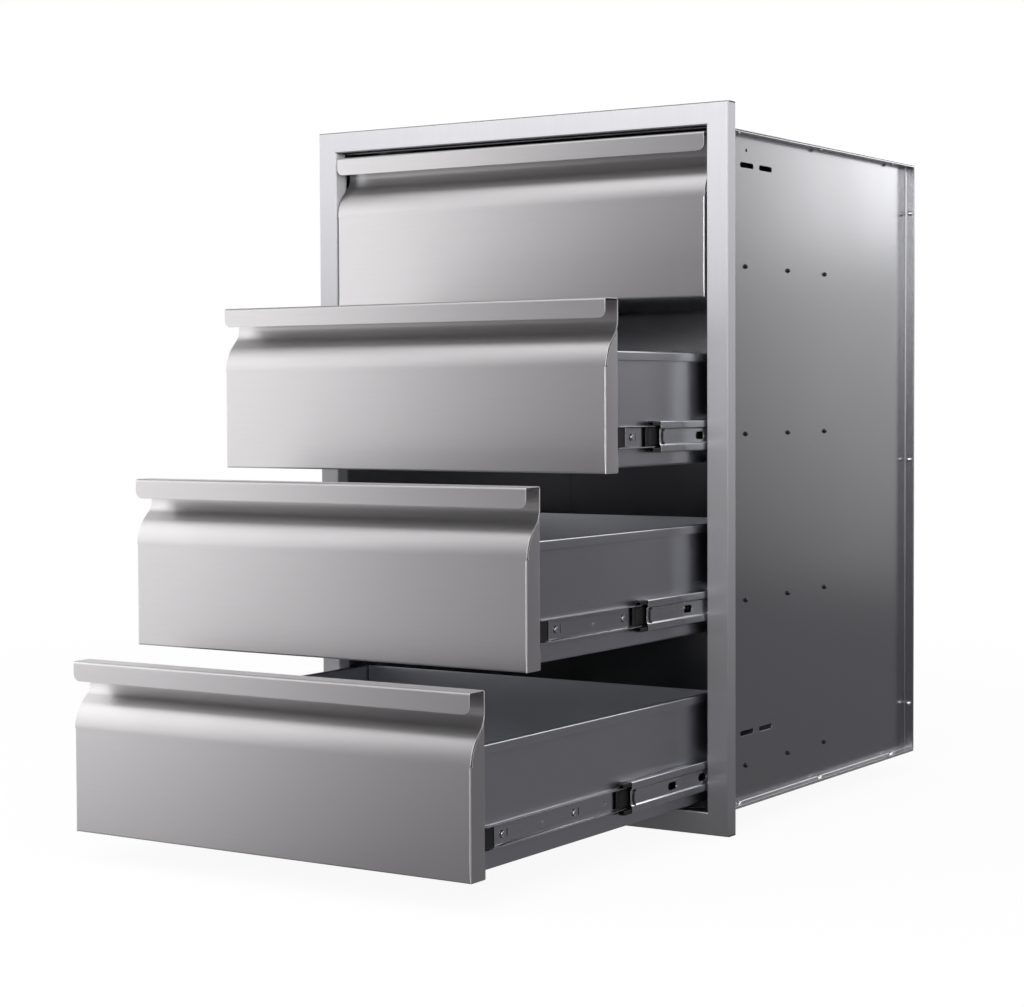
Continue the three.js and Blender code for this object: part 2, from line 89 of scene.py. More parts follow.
# Face frame
FRAME_WIDTH = 600.0
FRAME_HEIGHT = 864.0
FRAME_DEPTH = 20.5
SIDE_BORDER = 28.0
TOP_BORDER = 27.0
BOTTOM_BORDER = 27.5
LANDING_LIP = 12.0
LIP_SLOT = 3.0

# Cabinet: the side panels' faces and flanges, and the rivets through the flanges
PANEL_SIDE = 273.5
FLANGE_REAR = 558.2
FLANGE_LOW = 21.8
FLANGE_HIGH = 827.7
FLANGE_MIDDLE = 279.75
LEVEL_RIVETS = (45.05, 271.05, 497.61)
UPRIGHT_RIVETS = (85.0, 424.75, 764.5)
RIVET_RADIUS = 3.4
RIVET_HEIGHT = 3.0
BEND_EMBED = 0.2  # how far the drawn bend reaches into the two sheets that it joins
BEND_STEPS = 8

# Drawer front, from its underside and its face
FRONT_HALF = 269.25
FRONT_TOP = 192.0
FRONT_DEPTH = 27.0
RECESS = 25.5
SLOPE_TOP = 160.2
SLOPE_FOOT = 134.7
WING_TOP = 158.0
SIDE_FOLD_TOP = 116.5
REAR_LIP_FOOT = 18.5
BOTTOM_LIP = 18.0
BOTTOM_INSET = 3.0
REAR_LIP = 18.0
WING_GAP = 3.8
WING_NOTCH = 1.2  # how much further back the wing's lowest step starts
WING_REAR = 0.6  # what stays between the wing's cut edge and the rear fold
FOOT_CORNER = 1.5
LIP_END = 171.0
GRIP_FACE = 0.5  # behind this a face is inside the grip
GRIP_LOW = 4.0  # how far below the lip the inside of the grip begins

# Drawer box, from its drawer front's face and underside
BOX_HALF = 259.3
BOX_FLOOR = 6.7
BOX_TOP = 135.5
BOX_FRONT = 27.3
BOX_REAR = 540.0
RIM_WIDTH = 4.0
RIM_DROP = 10.0
RIM_BEND = 1.9
BOX_BEND = 1.2
END_DROP = 0.5  # how far the box's ends stay below its rim

# Slides: outwards from the box side, backwards from the member's front end, up from its middle
SLIDE_LENGTH = 500.0
INNER_BACK = 0.3
INNER_EDGE = 6.3
INNER_HALF = 12.5
INNER_SCREWS = (35.0, 177.0, 319.0)
SLIT_STEP = 10.0
SLIT_SIZE = (2.0, 9.0)
WASHER = 0.4
INNER_HOLES = (113.0, 243.0)
HOLE_SIZE = (4.4, 4.4)
ROLL_BEND = 1.8
TAB_START = 15.2  # where the bent tab behind the end cap begins and ends
TAB_END = 16.4
PLAY = 0.3  # the gap between a moulded piece and the steel round it
MIDDLE_LENGTH = 440.0
MIDDLE_BACK = 2.0
MIDDLE_WEB = 10.9
MIDDLE_HALF = 18.0
MIDDLE_LIP = 12.8
EMBOSS_WEB = 9.4
EMBOSS_HALF = 8.0
EMBOSS_FOOT = 9.5
MIDDLE_BENDS = (1.6, 1.6, 1.7, 1.7)
ACCESS_SLOTS = (95.0, 168.0, 241.0, 314.0)
ACCESS_SLOT_SIZE = (20.0, 9.0)
OUTER_SCREWS = (61.5, 177.0, 283.5)
PANEL_FACE = 14.2
# A screw's tip: its radius and how far it stands out of the panel
SCREW_TIP = ((3.1, 0.0), (3.1, 0.5), (2.2, 0.7), (2.2, 2.2), (1.7, 2.75), (0.9, 2.95), (0, 3.0))
CAP_LENGTH = 15.0
TONGUE = 25.0
COLLAR = 16.0
PLUG = 10.0

# Patterns on metal that is not brushed: how many times they repeat in a metre along X, Y and Z
SHEET_VEINS = (30.0, 4.0, 4.0)
SLIDE_VEINS = (8.0, 60.0, 300.0)
HEAD_CLOUDS = (60.0, 60.0, 60.0)

# Studio, in metres
FLOOR_RADIUS = 30
FLOOR_DROP = 0.0005  # how far the floor lies under the unit
SCREEN_DROP = 0.0002
ROOM_REACH = 3.2
ROOM_HEIGHT = 3.4
SCREEN_FOOT = -0.02
SKIRT_TOP = 1.3
SCREEN_COLOUR = "#1F1927"

# Upright screens: their two feet, their top, the axis that they clear along, where, and their cover there
UPRIGHT_SCREENS = {
    "front_screen": ((-3.4, -2.9), (-0.4, -2.9), 3.4, "X", (-3.4, -1.4), (0.6, 0.95)),
    "camera_screen": ((1.35, -3.0), (3.0, -2.0), 2.2, "Z", (0.0, 0.7), (0.9, 0.0)),
    "rear_screen": ((1.5, 2.9), (5.0, 2.9), 3.0, "X", (1.5, 2.2), (0.0, 0.92)),
}

# Softboxes besides the left one: place, aim, size and level
SOFTBOXES = {
    "right_softbox": ((2.8, -1.0, 1.1), (0, 0, 0.5), (1.1, 1.8), 1.4),
    "front_softbox": ((0.75, -3.1, 1.6), (0, 0, 0.7), (1.5, 1.6), 6.0),
    "rear_softbox": ((0.6, 2.9, 1.75), (0.2, 0.3, 0.9), (1.8, 1.8), 1.7),
    "top_softbox": ((-0.6, -1.3, 3.2), (-0.3, -0.3, 0.6), (2.6, 2.6), 1.5),
}

# The camera as fitted to the photo: place in metres, yaw, pitch and roll in degrees, lens shift
CAMERA_PLACE = (1.54715, -2.40525, 0.51395)
CAMERA_TURN = (33.0006, 2.248, -0.2481)
CAMERA_SHIFT = -0.01638
SENSOR_WIDTH = 36


def linear(code):
    """An sRGB hex code as linear red, green and blue."""
    parts = [int(code[i : i + 2], 16) / 255 for i in (1, 3, 5)]
    return tuple(c / 12.92 if c <= 0.04045 else ((c + 0.055) / 1.055) ** 2.4 for c in parts)


def size_setting(name, description, default, low, high):
    """A size that a user may change, with its default and its limits, in mm."""
    return FloatProperty(name=name, description=f"{description}, in mm", default=default, min=low, max=high)


def colour_setting(name, description, code):
    """A colour that a user may change, with an sRGB hex code as its default."""
    return FloatVectorProperty(
        name=name, description=description, subtype="COLOR", size=3, min=0.0, max=1.0, default=linear(code)
    )


class DrawerUnitShape(bpy.types.PropertyGroup):
    """The shape details that are finer than the CAD frame's."""

    curve_radius: size_setting(
        "Slope radius", "Radius of the bend between a drawer's face and the slope under its grip",
        default=40.0, low=5.0, high=60.0,
    )
    curve_steps: IntProperty(
        name="Slope steps",
        description="How many flats make that bend",
        default=18,
        min=4,
        max=48,
    )
    lip_corner: size_setting(
        "Grip corner radius", "Radius of the grip lip's lower corners",
        default=8.5, low=1.0, high=18.0,
    )
    cut_edge: size_setting(
        "Cut edge", "Width of the worn chamfer along the cut edges of a sheet",
        default=0.35, low=0.02, high=0.5,
    )
    panel_bend: size_setting(
        "Panel bend radius", "Inside radius of the fold between a side panel and its rear flange",
        default=1.2, low=0.5, high=5.0,
    )
    screw_head: size_setting(
        "Screw head radius", "Radius of the pan head screws in the slides",
        default=3.1, low=2.0, high=5.0,
    )


class DrawerUnitFinish(bpy.types.PropertyGroup):
    """The colours and grain of the finishes."""

    front_colour: colour_setting(
        "Drawer front steel", "Reflected colour of the brushed stainless steel", "#CFCDCE"
    )
    frame_colour: colour_setting(
        "Face frame steel", "Reflected colour of the frame's finer brushed steel", "#C6C6C9"
    )
    box_colour: colour_setting(
        "Drawer box steel", "Reflected colour of the drawer boxes' satin sheet", "#C9CACF"
    )
    cabinet_colour: colour_setting(
        "Cabinet steel", "Reflected colour of the cabinet's mill finish sheet", "#B3B3B6"
    )
    slide_colour: colour_setting("Slide steel", "Reflected colour of the zinc plated slides", "#D0D1D5")
    rivet_colour: colour_setting(
        "Rivet steel", "Reflected colour of the rivets' bright steel heads", "#E4E4E6"
    )
    # the dark steel colour that the screw tips are drawn in
    screw_colour: colour_setting(
        "Screw steel", "Reflected colour of the black oxide on the screws that hold the slides", "#4A4A4D"
    )
    plastic_colour: colour_setting("Plastic", "Colour of the end caps and ball retainers", "#101012")
    grain_width: size_setting(
        "Grain width", "Width of one brush line",
        default=0.8, low=0.1, high=4.0,
    )
    grain_length: size_setting(
        "Grain length", "Length of one brush line",
        default=90.0, low=5.0, high=400.0,
    )


class DrawerUnitStudio(bpy.types.PropertyGroup):
    """The floor, lamps and camera."""

    floor_colour: colour_setting("Floor", "Colour of the studio floor", "#EDEDED")
    softbox_level: FloatProperty(
        name="Softbox",
        description="How bright the softbox at the left is, where 1 is white",
        default=1.2,
        min=0.0,
        max=8.0,
    )
    lens: FloatProperty(
        name="Lens",
        description="Focal length of the camera on a 36 mm wide sensor",
        subtype="DISTANCE_CAMERA",
        default=80.493,
        min=20.0,
        max=200.0,
    )


# Shapes ---------------------------------------------------------------------------------------------


def near(a, b):
    """Whether two places along an axis are the same."""
    return abs(a - b) < NEAR


def agree(bm):
    """Makes a shape's faces look the same way, outwards where it is closed."""
    bmesh.ops.recalc_face_normals(bm, faces=bm.faces[:])


def fold_out(bm, edges, shift):
    """Extrudes a sheet's open edges by a shift and returns the vertices at the new edge."""
    grown = bmesh.ops.extrude_edge_only(bm, edges=edges)["geom"]
    verts = [g for g in grown if isinstance(g, bmesh.types.BMVert)]
    bmesh.ops.translate(bm, verts=verts, vec=shift)
    return verts


def sheet_run(bm, path, axis, ends):
    """A thin sheet: vertices along a path in the two other axes, extruded from one end to the other."""

    def place(point, along):
        a, b = point
        return Vector({"x": (along, a, b), "y": (a, along, b), "z": (a, b, along)}[axis])

    verts = [bm.verts.new(place(point, ends[0])) for point in path]
    edges = [bm.edges.new(pair) for pair in zip(verts, verts[1:])]
    fold_out(bm, edges, place((0, 0), ends[1] - ends[0]))


def edges_where(bm, faces, test):
    """The edges with that many faces whose both ends pass a test on their place."""
    return [e for e in bm.edges if len(e.link_faces) == faces and all(test(v.co) for v in e.verts)]


def bevel(bm, geom, offset, steps, affect="EDGES", clamp=False):
    """Rounds edges, or a flat sheet's outer corners."""
    bmesh.ops.bevel(
        bm, geom=geom, offset=offset, offset_type="OFFSET", segments=steps, profile=0.5,
        affect=affect, material=-1, clamp_overlap=clamp,
    )


def cut_plane(bm, geom, place, normal, clear=False):
    """Cuts a sheet along a plane, and can clear what lies beyond it."""
    bmesh.ops.bisect_plane(
        bm, geom=geom, dist=ON_PLANE, plane_co=place, plane_no=normal, clear_outer=clear
    )


def round_fold(bm, radius, steps, test):
    """Rounds the folds whose ends pass the test to a radius."""
    agree(bm)
    bm.normal_update()
    edges = [e for e in edges_where(bm, 2, test) if e.calc_face_angle() > LEAST_FOLD]
    if not edges:
        raise RuntimeError("no fold is there to round")
    bevel(bm, edges, radius * math.tan(edges[0].calc_face_angle() / 2), steps)


def face_towards(bm, place, direction):
    """Makes a sheet's faces agree, and the one nearest a place look in a direction."""
    agree(bm)
    bm.normal_update()
    place = Vector(place)
    nearest = min(bm.faces, key=lambda f: (f.calc_center_median() - place).length)
    if nearest.normal.dot(Vector(direction)) < 0:
        bmesh.ops.reverse_faces(bm, faces=bm.faces[:])
        bm.normal_update()


def flat_plate(bm, outlines, matrix):
    """A flat sheet with holes: closed outlines, the outer one first, filled between them."""
    edges = []
    for outline in outlines:
        verts = [bm.verts.new(matrix @ Vector((x, y, 0))) for x, y in outline]
        edges += [bm.edges.new(pair) for pair in zip(verts, verts[1:] + verts[:1])]
    bmesh.ops.triangle_fill(bm, edges=edges, use_beauty=True, use_dissolve=False)
    return edges


def long_hole(centre, size, steps=8):
    """The outline of a round ended hole, as long as the larger of its two sizes."""
    wide, high = size
    radius = min(size) / 2
    reach = Vector((max(wide - high, 0) / 2, max(high - wide, 0) / 2))
    points = []
    for i in range(2 * steps):
        angle = math.pi * (i + 0.5) / steps
        side = math.cos(angle) if wide > high else math.sin(angle)
        shift = reach * (1 if side > 0 else -1)
        x = centre[0] + shift.x + radius * math.cos(angle)
        points.append((x, centre[1] + shift.y + radius * math.sin(angle)))
    return points


def slide_web(bm, out, length, half, holes):
    """The flat web of a slide member, at a place across the unit, with its holes."""
    web = [(0, -half), (length, -half), (length, half), (0, half)]
    turn = Matrix(((0, 0, 1, out), (1, 0, 0, 0), (0, 1, 0, 0), (0, 0, 0, 1)))
    flat_plate(bm, [web, *holes], turn)


def rounded_box(bm, low, high, edge, steps=2):
    """A block with rounded edges, for small moulded parts."""
    low, high = Vector(low), Vector(high)
    made = bmesh.ops.create_cube(bm, size=1.0)["verts"]
    bmesh.ops.scale(bm, verts=made, vec=high - low)
    bmesh.ops.translate(bm, verts=made, vec=(low + high) / 2)
    bevel(bm, list({e for v in made for e in v.link_edges}), edge, steps, clamp=True)


def turned(bm, profile, matrix, steps=20):
    """A turned part: a profile of (radius, height) points spun round the matrix's Z axis."""
    verts = [bm.verts.new((r, 0, h)) for r, h in profile]
    edges = [bm.edges.new(pair) for pair in zip(verts, verts[1:])]
    bmesh.ops.spin(
        bm, geom=verts + edges, cent=(0, 0, 0), axis=(0, 0, 1), angle=FULL_TURN, steps=steps,
        use_merge=True, use_duplicate=False,
    )
    fresh = set(verts)
    walk = list(verts)
    while walk:
        for edge in walk.pop().link_edges:
            for vert in edge.verts:
                if vert not in fresh:
                    fresh.add(vert)
                    walk.append(vert)
    bmesh.ops.transform(bm, matrix=matrix, verts=list(fresh))


def towards_x(side, place):
    """A matrix that puts a part turned round Z at a place, its axis along X to that side."""
    turn = Matrix.Rotation(side * math.pi / 2, 4, "Y")
    return Matrix.Translation(place) @ turn


def dome(radius, height, foot=0.35, steps=6):
    """The profile of a domed head: up its side and over to its middle."""
    arc = [
        (radius * math.cos(a), foot + (height - foot) * math.sin(a))
        for a in (math.pi / 2 * i / steps for i in range(steps + 1))
    ]
    arc[-1] = (0.0, height)
    return [(radius, 0.0)] + arc


# Meshes and pieces ----------------------------------------------------------------------------------


def mesh_from(bm, name):
    """A mesh of a shape, which is used up."""
    mesh = bpy.data.meshes.new(name)
    bm.to_mesh(mesh)
    bm.free()
    return mesh


def add_object(name, data):
    """A new object in the scene."""
    made = bpy.data.objects.new(name, data)
    bpy.context.scene.collection.objects.link(made)
    return made


def evaluated(piece):
    """Replaces a piece's mesh by the one that its modifiers make."""
    depsgraph = bpy.context.evaluated_depsgraph_get()
    mesh = bpy.data.meshes.new_from_object(
        piece.evaluated_get(depsgraph), preserve_all_data_layers=True, depsgraph=depsgraph
    )
    old = piece.data
    piece.modifiers.clear()
    piece.data = mesh
    bpy.data.meshes.remove(old)
    return mesh


def draw_grain(mesh, grain):
    """A UV map in metres whose first axis runs along the grain on every face."""
    layer = mesh.uv_layers.new(name="grain")
    grain = Vector(grain)
    spare = Vector((0, 1, 0)) if abs(grain.y) < 0.5 else Vector((0, 0, 1))
    for polygon in mesh.polygons:
        normal = polygon.normal
        along = grain if abs(normal.dot(grain)) < 0.8 else spare
        across = normal.cross(along)
        if across.length < 1e-6:
            continue
        across.normalize()
        along = across.cross(normal)
        for loop in polygon.loop_indices:
            co = mesh.vertices[mesh.loops[loop].vertex_index].co
            layer.data[loop].uv = (co.dot(along), co.dot(across))


def make_mesh(bm, grain=(1, 0, 0), thickness=0.0, cut_edge=0.0, sharp=35):
    """Turns a shape in millimetres into a finished mesh in metres: sheet thickness, worn cut edges,
    normals that leave the flats flat, and the grain's map."""
    bmesh.ops.remove_doubles(bm, verts=bm.verts[:], dist=DOUBLE)
    bmesh.ops.scale(bm, verts=bm.verts[:], vec=(MM, MM, MM))
    mesh = mesh_from(bm, "shape")
    piece = add_object("shape", mesh)
    if thickness:
        wall = piece.modifiers.new("sheet", "SOLIDIFY")
        wall.thickness = thickness * MM
        wall.offset = -1
        wall.use_even_offset = True
        wall.use_quality_normals = True
        wall.material_offset_rim = 1  # marks the cut edges until they have an attribute of their own
        for _ in range(2):
            mesh.materials.append(None)
    if cut_edge:
        worn = piece.modifiers.new("cut edge", "BEVEL")
        worn.width = cut_edge * MM
        worn.segments = 2
        worn.limit_method = "ANGLE"
        worn.angle_limit = math.radians(CUT_ANGLE)
        worn.use_clamp_overlap = False
    mesh = evaluated(piece)
    # the cut edges are marked here for the painted highlight that brushed_steel gives them
    cut = mesh.attributes.new("cut_edge", "FLOAT", "FACE")
    cut.data.foreach_set("value", [float(polygon.material_index) for polygon in mesh.polygons])
    mesh.polygons.foreach_set("material_index", [0] * len(mesh.polygons))
    mesh.polygons.foreach_set("use_smooth", [True] * len(mesh.polygons))
    mesh.set_sharp_from_angle(angle=math.radians(sharp))
    even = piece.modifiers.new("flats", "WEIGHTED_NORMAL")
    even.mode = "FACE_AREA"
    even.keep_sharp = True
    mesh = evaluated(piece)
    bpy.data.objects.remove(piece)
    draw_grain(mesh, grain)
    return mesh


def dressed_copy(node, grain, cut_edge):
    """A merged copy of a CAD node's mesh with worn cut edges and the grain's map."""
    bm = bmesh.new()
    bm.from_mesh(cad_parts[node].data)
    bmesh.ops.scale(bm, verts=bm.verts[:], vec=(1 / MM, 1 / MM, 1 / MM))
    bmesh.ops.remove_doubles(bm, verts=bm.verts[:], dist=2 * DOUBLE)
    bmesh.ops.dissolve_limit(
        bm, angle_limit=math.radians(1), verts=bm.verts[:], edges=bm.edges[:], delimit={"NORMAL"}
    )
    return make_mesh(bm, grain, cut_edge=cut_edge)


def set_piece(name, mesh, material, body, nodes=(), place=(0, 0, 0)):
    """Puts a copy of a mesh at a place in the frame, as a piece that rides on a body."""
    mesh = mesh.copy()
    mesh.name = name
    mesh.transform(Matrix.Translation(place))
    mesh.materials.clear()
    mesh.materials.append(material)
    piece = add_object(name, mesh)
    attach(piece, body)
    if nodes:
        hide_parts(*nodes)


def front_place(number):
    """Where a drawer front's face and underside are, midway across."""
    low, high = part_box(f"drawer_front_{number}")
    return Vector(((low.x + high.x) / 2, low.y + FRAME_SHEET * MM, low.z))


def member_place(number, word, what):
    """Where a slide member's front end is: midway across the unit, at the member's middle height."""
    low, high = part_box(f"slide_{number}_{word}_{what}")
    return Vector((0, low.y, (low.z + high.z) / 2))


# Finishes -------------------------------------------------------------------------------------------


def add_node(tree, kind, links=None, values=None, **settings):
    """Adds a node: its settings, the values of its inputs, and what is linked to them."""
    node = tree.nodes.new(kind)
    for key, value in settings.items():
        setattr(node, key, value)
    for key, value in (values or {}).items():
        node.inputs[key].default_value = value
    for key, source in (links or {}).items():
        tree.links.new(source, node.inputs[key])
    return node


def new_finish(name):
    """A material with an empty node tree, and its output node."""
    finish = bpy.data.materials.new(name)
    finish.use_nodes = True
    finish.node_tree.nodes.clear()
    return finish, finish.node_tree, add_node(finish.node_tree, "ShaderNodeOutputMaterial")


def shade(colour, factor):
    """A colour made darker or brighter, with its alpha."""
    return tuple(min(1.0, c * factor) for c in colour[:3]) + (1.0,)


def brushed_steel(name, colour, roughness, anisotropy, spread=0.05, bump=0.06):
    """Brushed 304 stainless steel: fine parallel scratches that the eye sees as faint streaks, and
    reflections that are drawn out across the grain. Real scratches are under 0.1 mm apart, too fine to
    show, so the streaks are drawn as wide as the grain width."""
    style = bpy.context.scene.drawer_unit_finish
    finish, tree, output = new_finish(name)
    grain = add_node(tree, "ShaderNodeUVMap", uv_map="grain")
    lines = add_node(
        tree, "ShaderNodeMapping", {"Vector": grain.outputs["UV"]},
        {"Scale": (1 / (style.grain_length * MM), 1 / (style.grain_width * MM), 1.0)},
    )
    streaks = add_node(
        tree, "ShaderNodeTexNoise", {"Vector": lines.outputs["Vector"]},
        {"Scale": 1.0, "Detail": 3.0, "Roughness": 0.6}, noise_dimensions="2D",
    )
    spot = add_node(tree, "ShaderNodeTexCoord")
    clouds = add_node(
        tree, "ShaderNodeTexNoise", {"Vector": spot.outputs["Object"]},
        {"Scale": 9.0, "Detail": 2.0, "Roughness": 0.5},  # clouds about 110 mm across
    )
    both = add_node(
        tree, "ShaderNodeMix", {"A": streaks.outputs["Fac"], "B": clouds.outputs["Fac"]},
        {"Factor": 0.3}, data_type="FLOAT",
    )
    tint = add_node(
        tree, "ShaderNodeMix", {"Factor": both.outputs["Result"]}, data_type="RGBA",
    )
    tint.inputs["A"].default_value = shade(colour, 1 - spread)
    tint.inputs["B"].default_value = shade(colour, 1 + spread)
    # Painted highlight: the sheet's cut edges are brightened in colour to stand for the light lines along
    # them
    cut = add_node(tree, "ShaderNodeAttribute", attribute_name="cut_edge")
    bright = add_node(
        tree, "ShaderNodeMix", {"Factor": cut.outputs["Fac"], "A": tint.outputs["Result"]}, data_type="RGBA",
    )
    bright.inputs["B"].default_value = shade(colour, 1.5)  # painted highlight: cut edges drawn 1.5 times as bright as the steel, for the bright lines along the sheared edges
    # Painted shade: the faces marked inside a drawer front's grip are darkened to stand for the shade under
    # its lip
    painted_grip_shade = add_node(tree, "ShaderNodeAttribute", attribute_name="painted_grip_shade")
    surface = add_node(
        tree, "ShaderNodeMix", {"Factor": painted_grip_shade.outputs["Fac"], "A": bright.outputs["Result"]},
        data_type="RGBA",
    )
    surface.inputs["B"].default_value = shade(colour, 0.15)  # painted shade: faces inside the grip are drawn at 15 percent of the steel's colour, for the shade under the lip
    dull = add_node(
        tree, "ShaderNodeMapRange", {"Value": both.outputs["Result"]},
        {"From Min": 0.25, "From Max": 0.75, "To Min": roughness + 0.03, "To Max": roughness - 0.03},
    )
    worn = add_node(
        tree, "ShaderNodeMix", {"Factor": cut.outputs["Fac"], "A": dull.outputs["Result"]}, {"B": 0.62},
        data_type="FLOAT",
    )
    relief = add_node(
        tree, "ShaderNodeBump", {"Height": streaks.outputs["Fac"]},
        {"Strength": bump, "Distance": 0.00005},
    )
    tangent = add_node(tree, "ShaderNodeTangent", direction_type="UV_MAP", uv_map="grain")
    metal = add_node(
        tree, "ShaderNodeBsdfPrincipled",
        {
            "Base Color": surface.outputs["Result"],
            "Roughness": worn.outputs["Result"],
            "Normal": relief.outputs["Normal"],
            "Tangent": tangent.outputs["Tangent"],
        },
        {"Metallic": 1.0, "Anisotropic": anisotropy, "Anisotropic Rotation": 0.25},
    )
    tree.links.new(metal.outputs["BSDF"], output.inputs["Surface"])
    return finish


def mill_steel(name, colour, roughness, veins=SHEET_VEINS, spread=0.04):
    """Cold rolled sheet as it comes from the mill: a soft even sheen with faint rolling lines and
    clouds, and hardly any scratches. Real rolling lines are too fine to show, so the sheet's veins are
    drawn 33 mm wide and 250 mm long."""
    finish, tree, output = new_finish(name)
    spot = add_node(tree, "ShaderNodeTexCoord")
    rolled = add_node(
        tree, "ShaderNodeMapping", {"Vector": spot.outputs["Object"]}, {"Scale": veins},
    )
    clouds = add_node(
        tree, "ShaderNodeTexNoise", {"Vector": rolled.outputs["Vector"]},
        {"Scale": 1.0, "Detail": 4.0, "Roughness": 0.55},
    )
    grit = add_node(
        tree, "ShaderNodeTexNoise", {"Vector": spot.outputs["Object"]},
        {"Scale": 900.0, "Detail": 1.0},  # specks about 1 mm across, coarser than real ones
    )
    both = add_node(
        tree, "ShaderNodeMix", {"A": clouds.outputs["Fac"], "B": grit.outputs["Fac"]},
        {"Factor": 0.25}, data_type="FLOAT",
    )
    tint = add_node(
        tree, "ShaderNodeMix", {"Factor": both.outputs["Result"]}, data_type="RGBA",
    )
    tint.inputs["A"].default_value = shade(colour, 1 - spread)
    tint.inputs["B"].default_value = shade(colour, 1 + spread)
    dull = add_node(
        tree, "ShaderNodeMapRange", {"Value": both.outputs["Result"]},
        {"From Min": 0.25, "From Max": 0.75, "To Min": roughness + 0.03, "To Max": roughness - 0.03},
    )
    relief = add_node(
        tree, "ShaderNodeBump", {"Height": grit.outputs["Fac"]}, {"Strength": 0.04, "Distance": 0.00004},
    )
    metal = add_node(
        tree, "ShaderNodeBsdfPrincipled",
        {
            "Base Color": tint.outputs["Result"],
            "Roughness": dull.outputs["Result"],
            "Normal": relief.outputs["Normal"],
        },
        {"Metallic": 1.0},
    )
    tree.links.new(metal.outputs["BSDF"], output.inputs["Surface"])
    return finish


def moulded_plastic(name, colour):
    """Black acetal, injection moulded: a soft sheen over a fine sparked texture."""
    finish, tree, output = new_finish(name)
    spot = add_node(tree, "ShaderNodeTexCoord")
    grit = add_node(
        tree, "ShaderNodeTexNoise", {"Vector": spot.outputs["Object"]},
        {"Scale": 2200.0, "Detail": 2.0},  # the mould's sparked texture, about 0.4 mm
    )
    tint = add_node(tree, "ShaderNodeMix", {"Factor": grit.outputs["Fac"]}, data_type="RGBA")
    tint.inputs["A"].default_value = shade(colour, 0.8)
    tint.inputs["B"].default_value = shade(colour, 1.25)
    dull = add_node(
        tree, "ShaderNodeMapRange", {"Value": grit.outputs["Fac"]}, {"To Min": 0.38, "To Max": 0.55},
    )
    relief = add_node(
        tree, "ShaderNodeBump", {"Height": grit.outputs["Fac"]}, {"Strength": 0.15, "Distance": 0.00005},
    )
    plastic = add_node(
        tree, "ShaderNodeBsdfPrincipled",
        {
            "Base Color": tint.outputs["Result"],
            "Roughness": dull.outputs["Result"],
            "Normal": relief.outputs["Normal"],
        },
        {"IOR": 1.48},
    )
    tree.links.new(plastic.outputs["BSDF"], output.inputs["Surface"])
    return finish


def finish_named(name):
    """One of the unit's finishes, made when it is first asked for."""
    found = bpy.data.materials.get(name)
    if found:
        return found
    style = bpy.context.scene.drawer_unit_finish
    makers = {
        # Brushed lengthwise with a medium belt: soft bands of light that run down the drawer fronts
        "brushed_stainless": lambda: brushed_steel(name, style.front_colour, 0.38, 0.7),
        # Brushed along each rail with a coarse belt: an even, pale, nearly matt face
        "frame_stainless": lambda: brushed_steel(name, style.frame_colour, 0.55, 0.9, 0.03, 0.04),
        # Lightly brushed sheet: a smooth grey with blurred reflections of the slides and fronts
        "satin_stainless": lambda: brushed_steel(name, style.box_colour, 0.3, 0.3, 0.03, 0.02),
        # Cold rolled and left as it is: dim mirror images that fade from light to dark
        "mill_stainless": lambda: mill_steel(name, style.cabinet_colour, 0.22),
        # Rolled, then bright zinc plated: small sharp glints on the bends over a cool grey
        "zinc_plated_steel": lambda: mill_steel(name, style.slide_colour, 0.22, SLIDE_VEINS, 0.06),
        # Cold headed steel, clean and smooth: a bright point on each rivet
        "bright_rivet_steel": lambda: mill_steel(name, style.rivet_colour, 0.15, HEAD_CLOUDS),
        # Screw tips in a dark steel colour: dark points with a faint glint
        "dark_screw_steel": lambda: mill_steel(name, style.screw_colour, 0.25, HEAD_CLOUDS, 0.2),
        # Moulded acetal: black with a soft sheen
        "black_acetal": lambda: moulded_plastic(name, style.plastic_colour),
    }
    return makers[name]()


# Operators ------------------------------------------------------------------------------------------


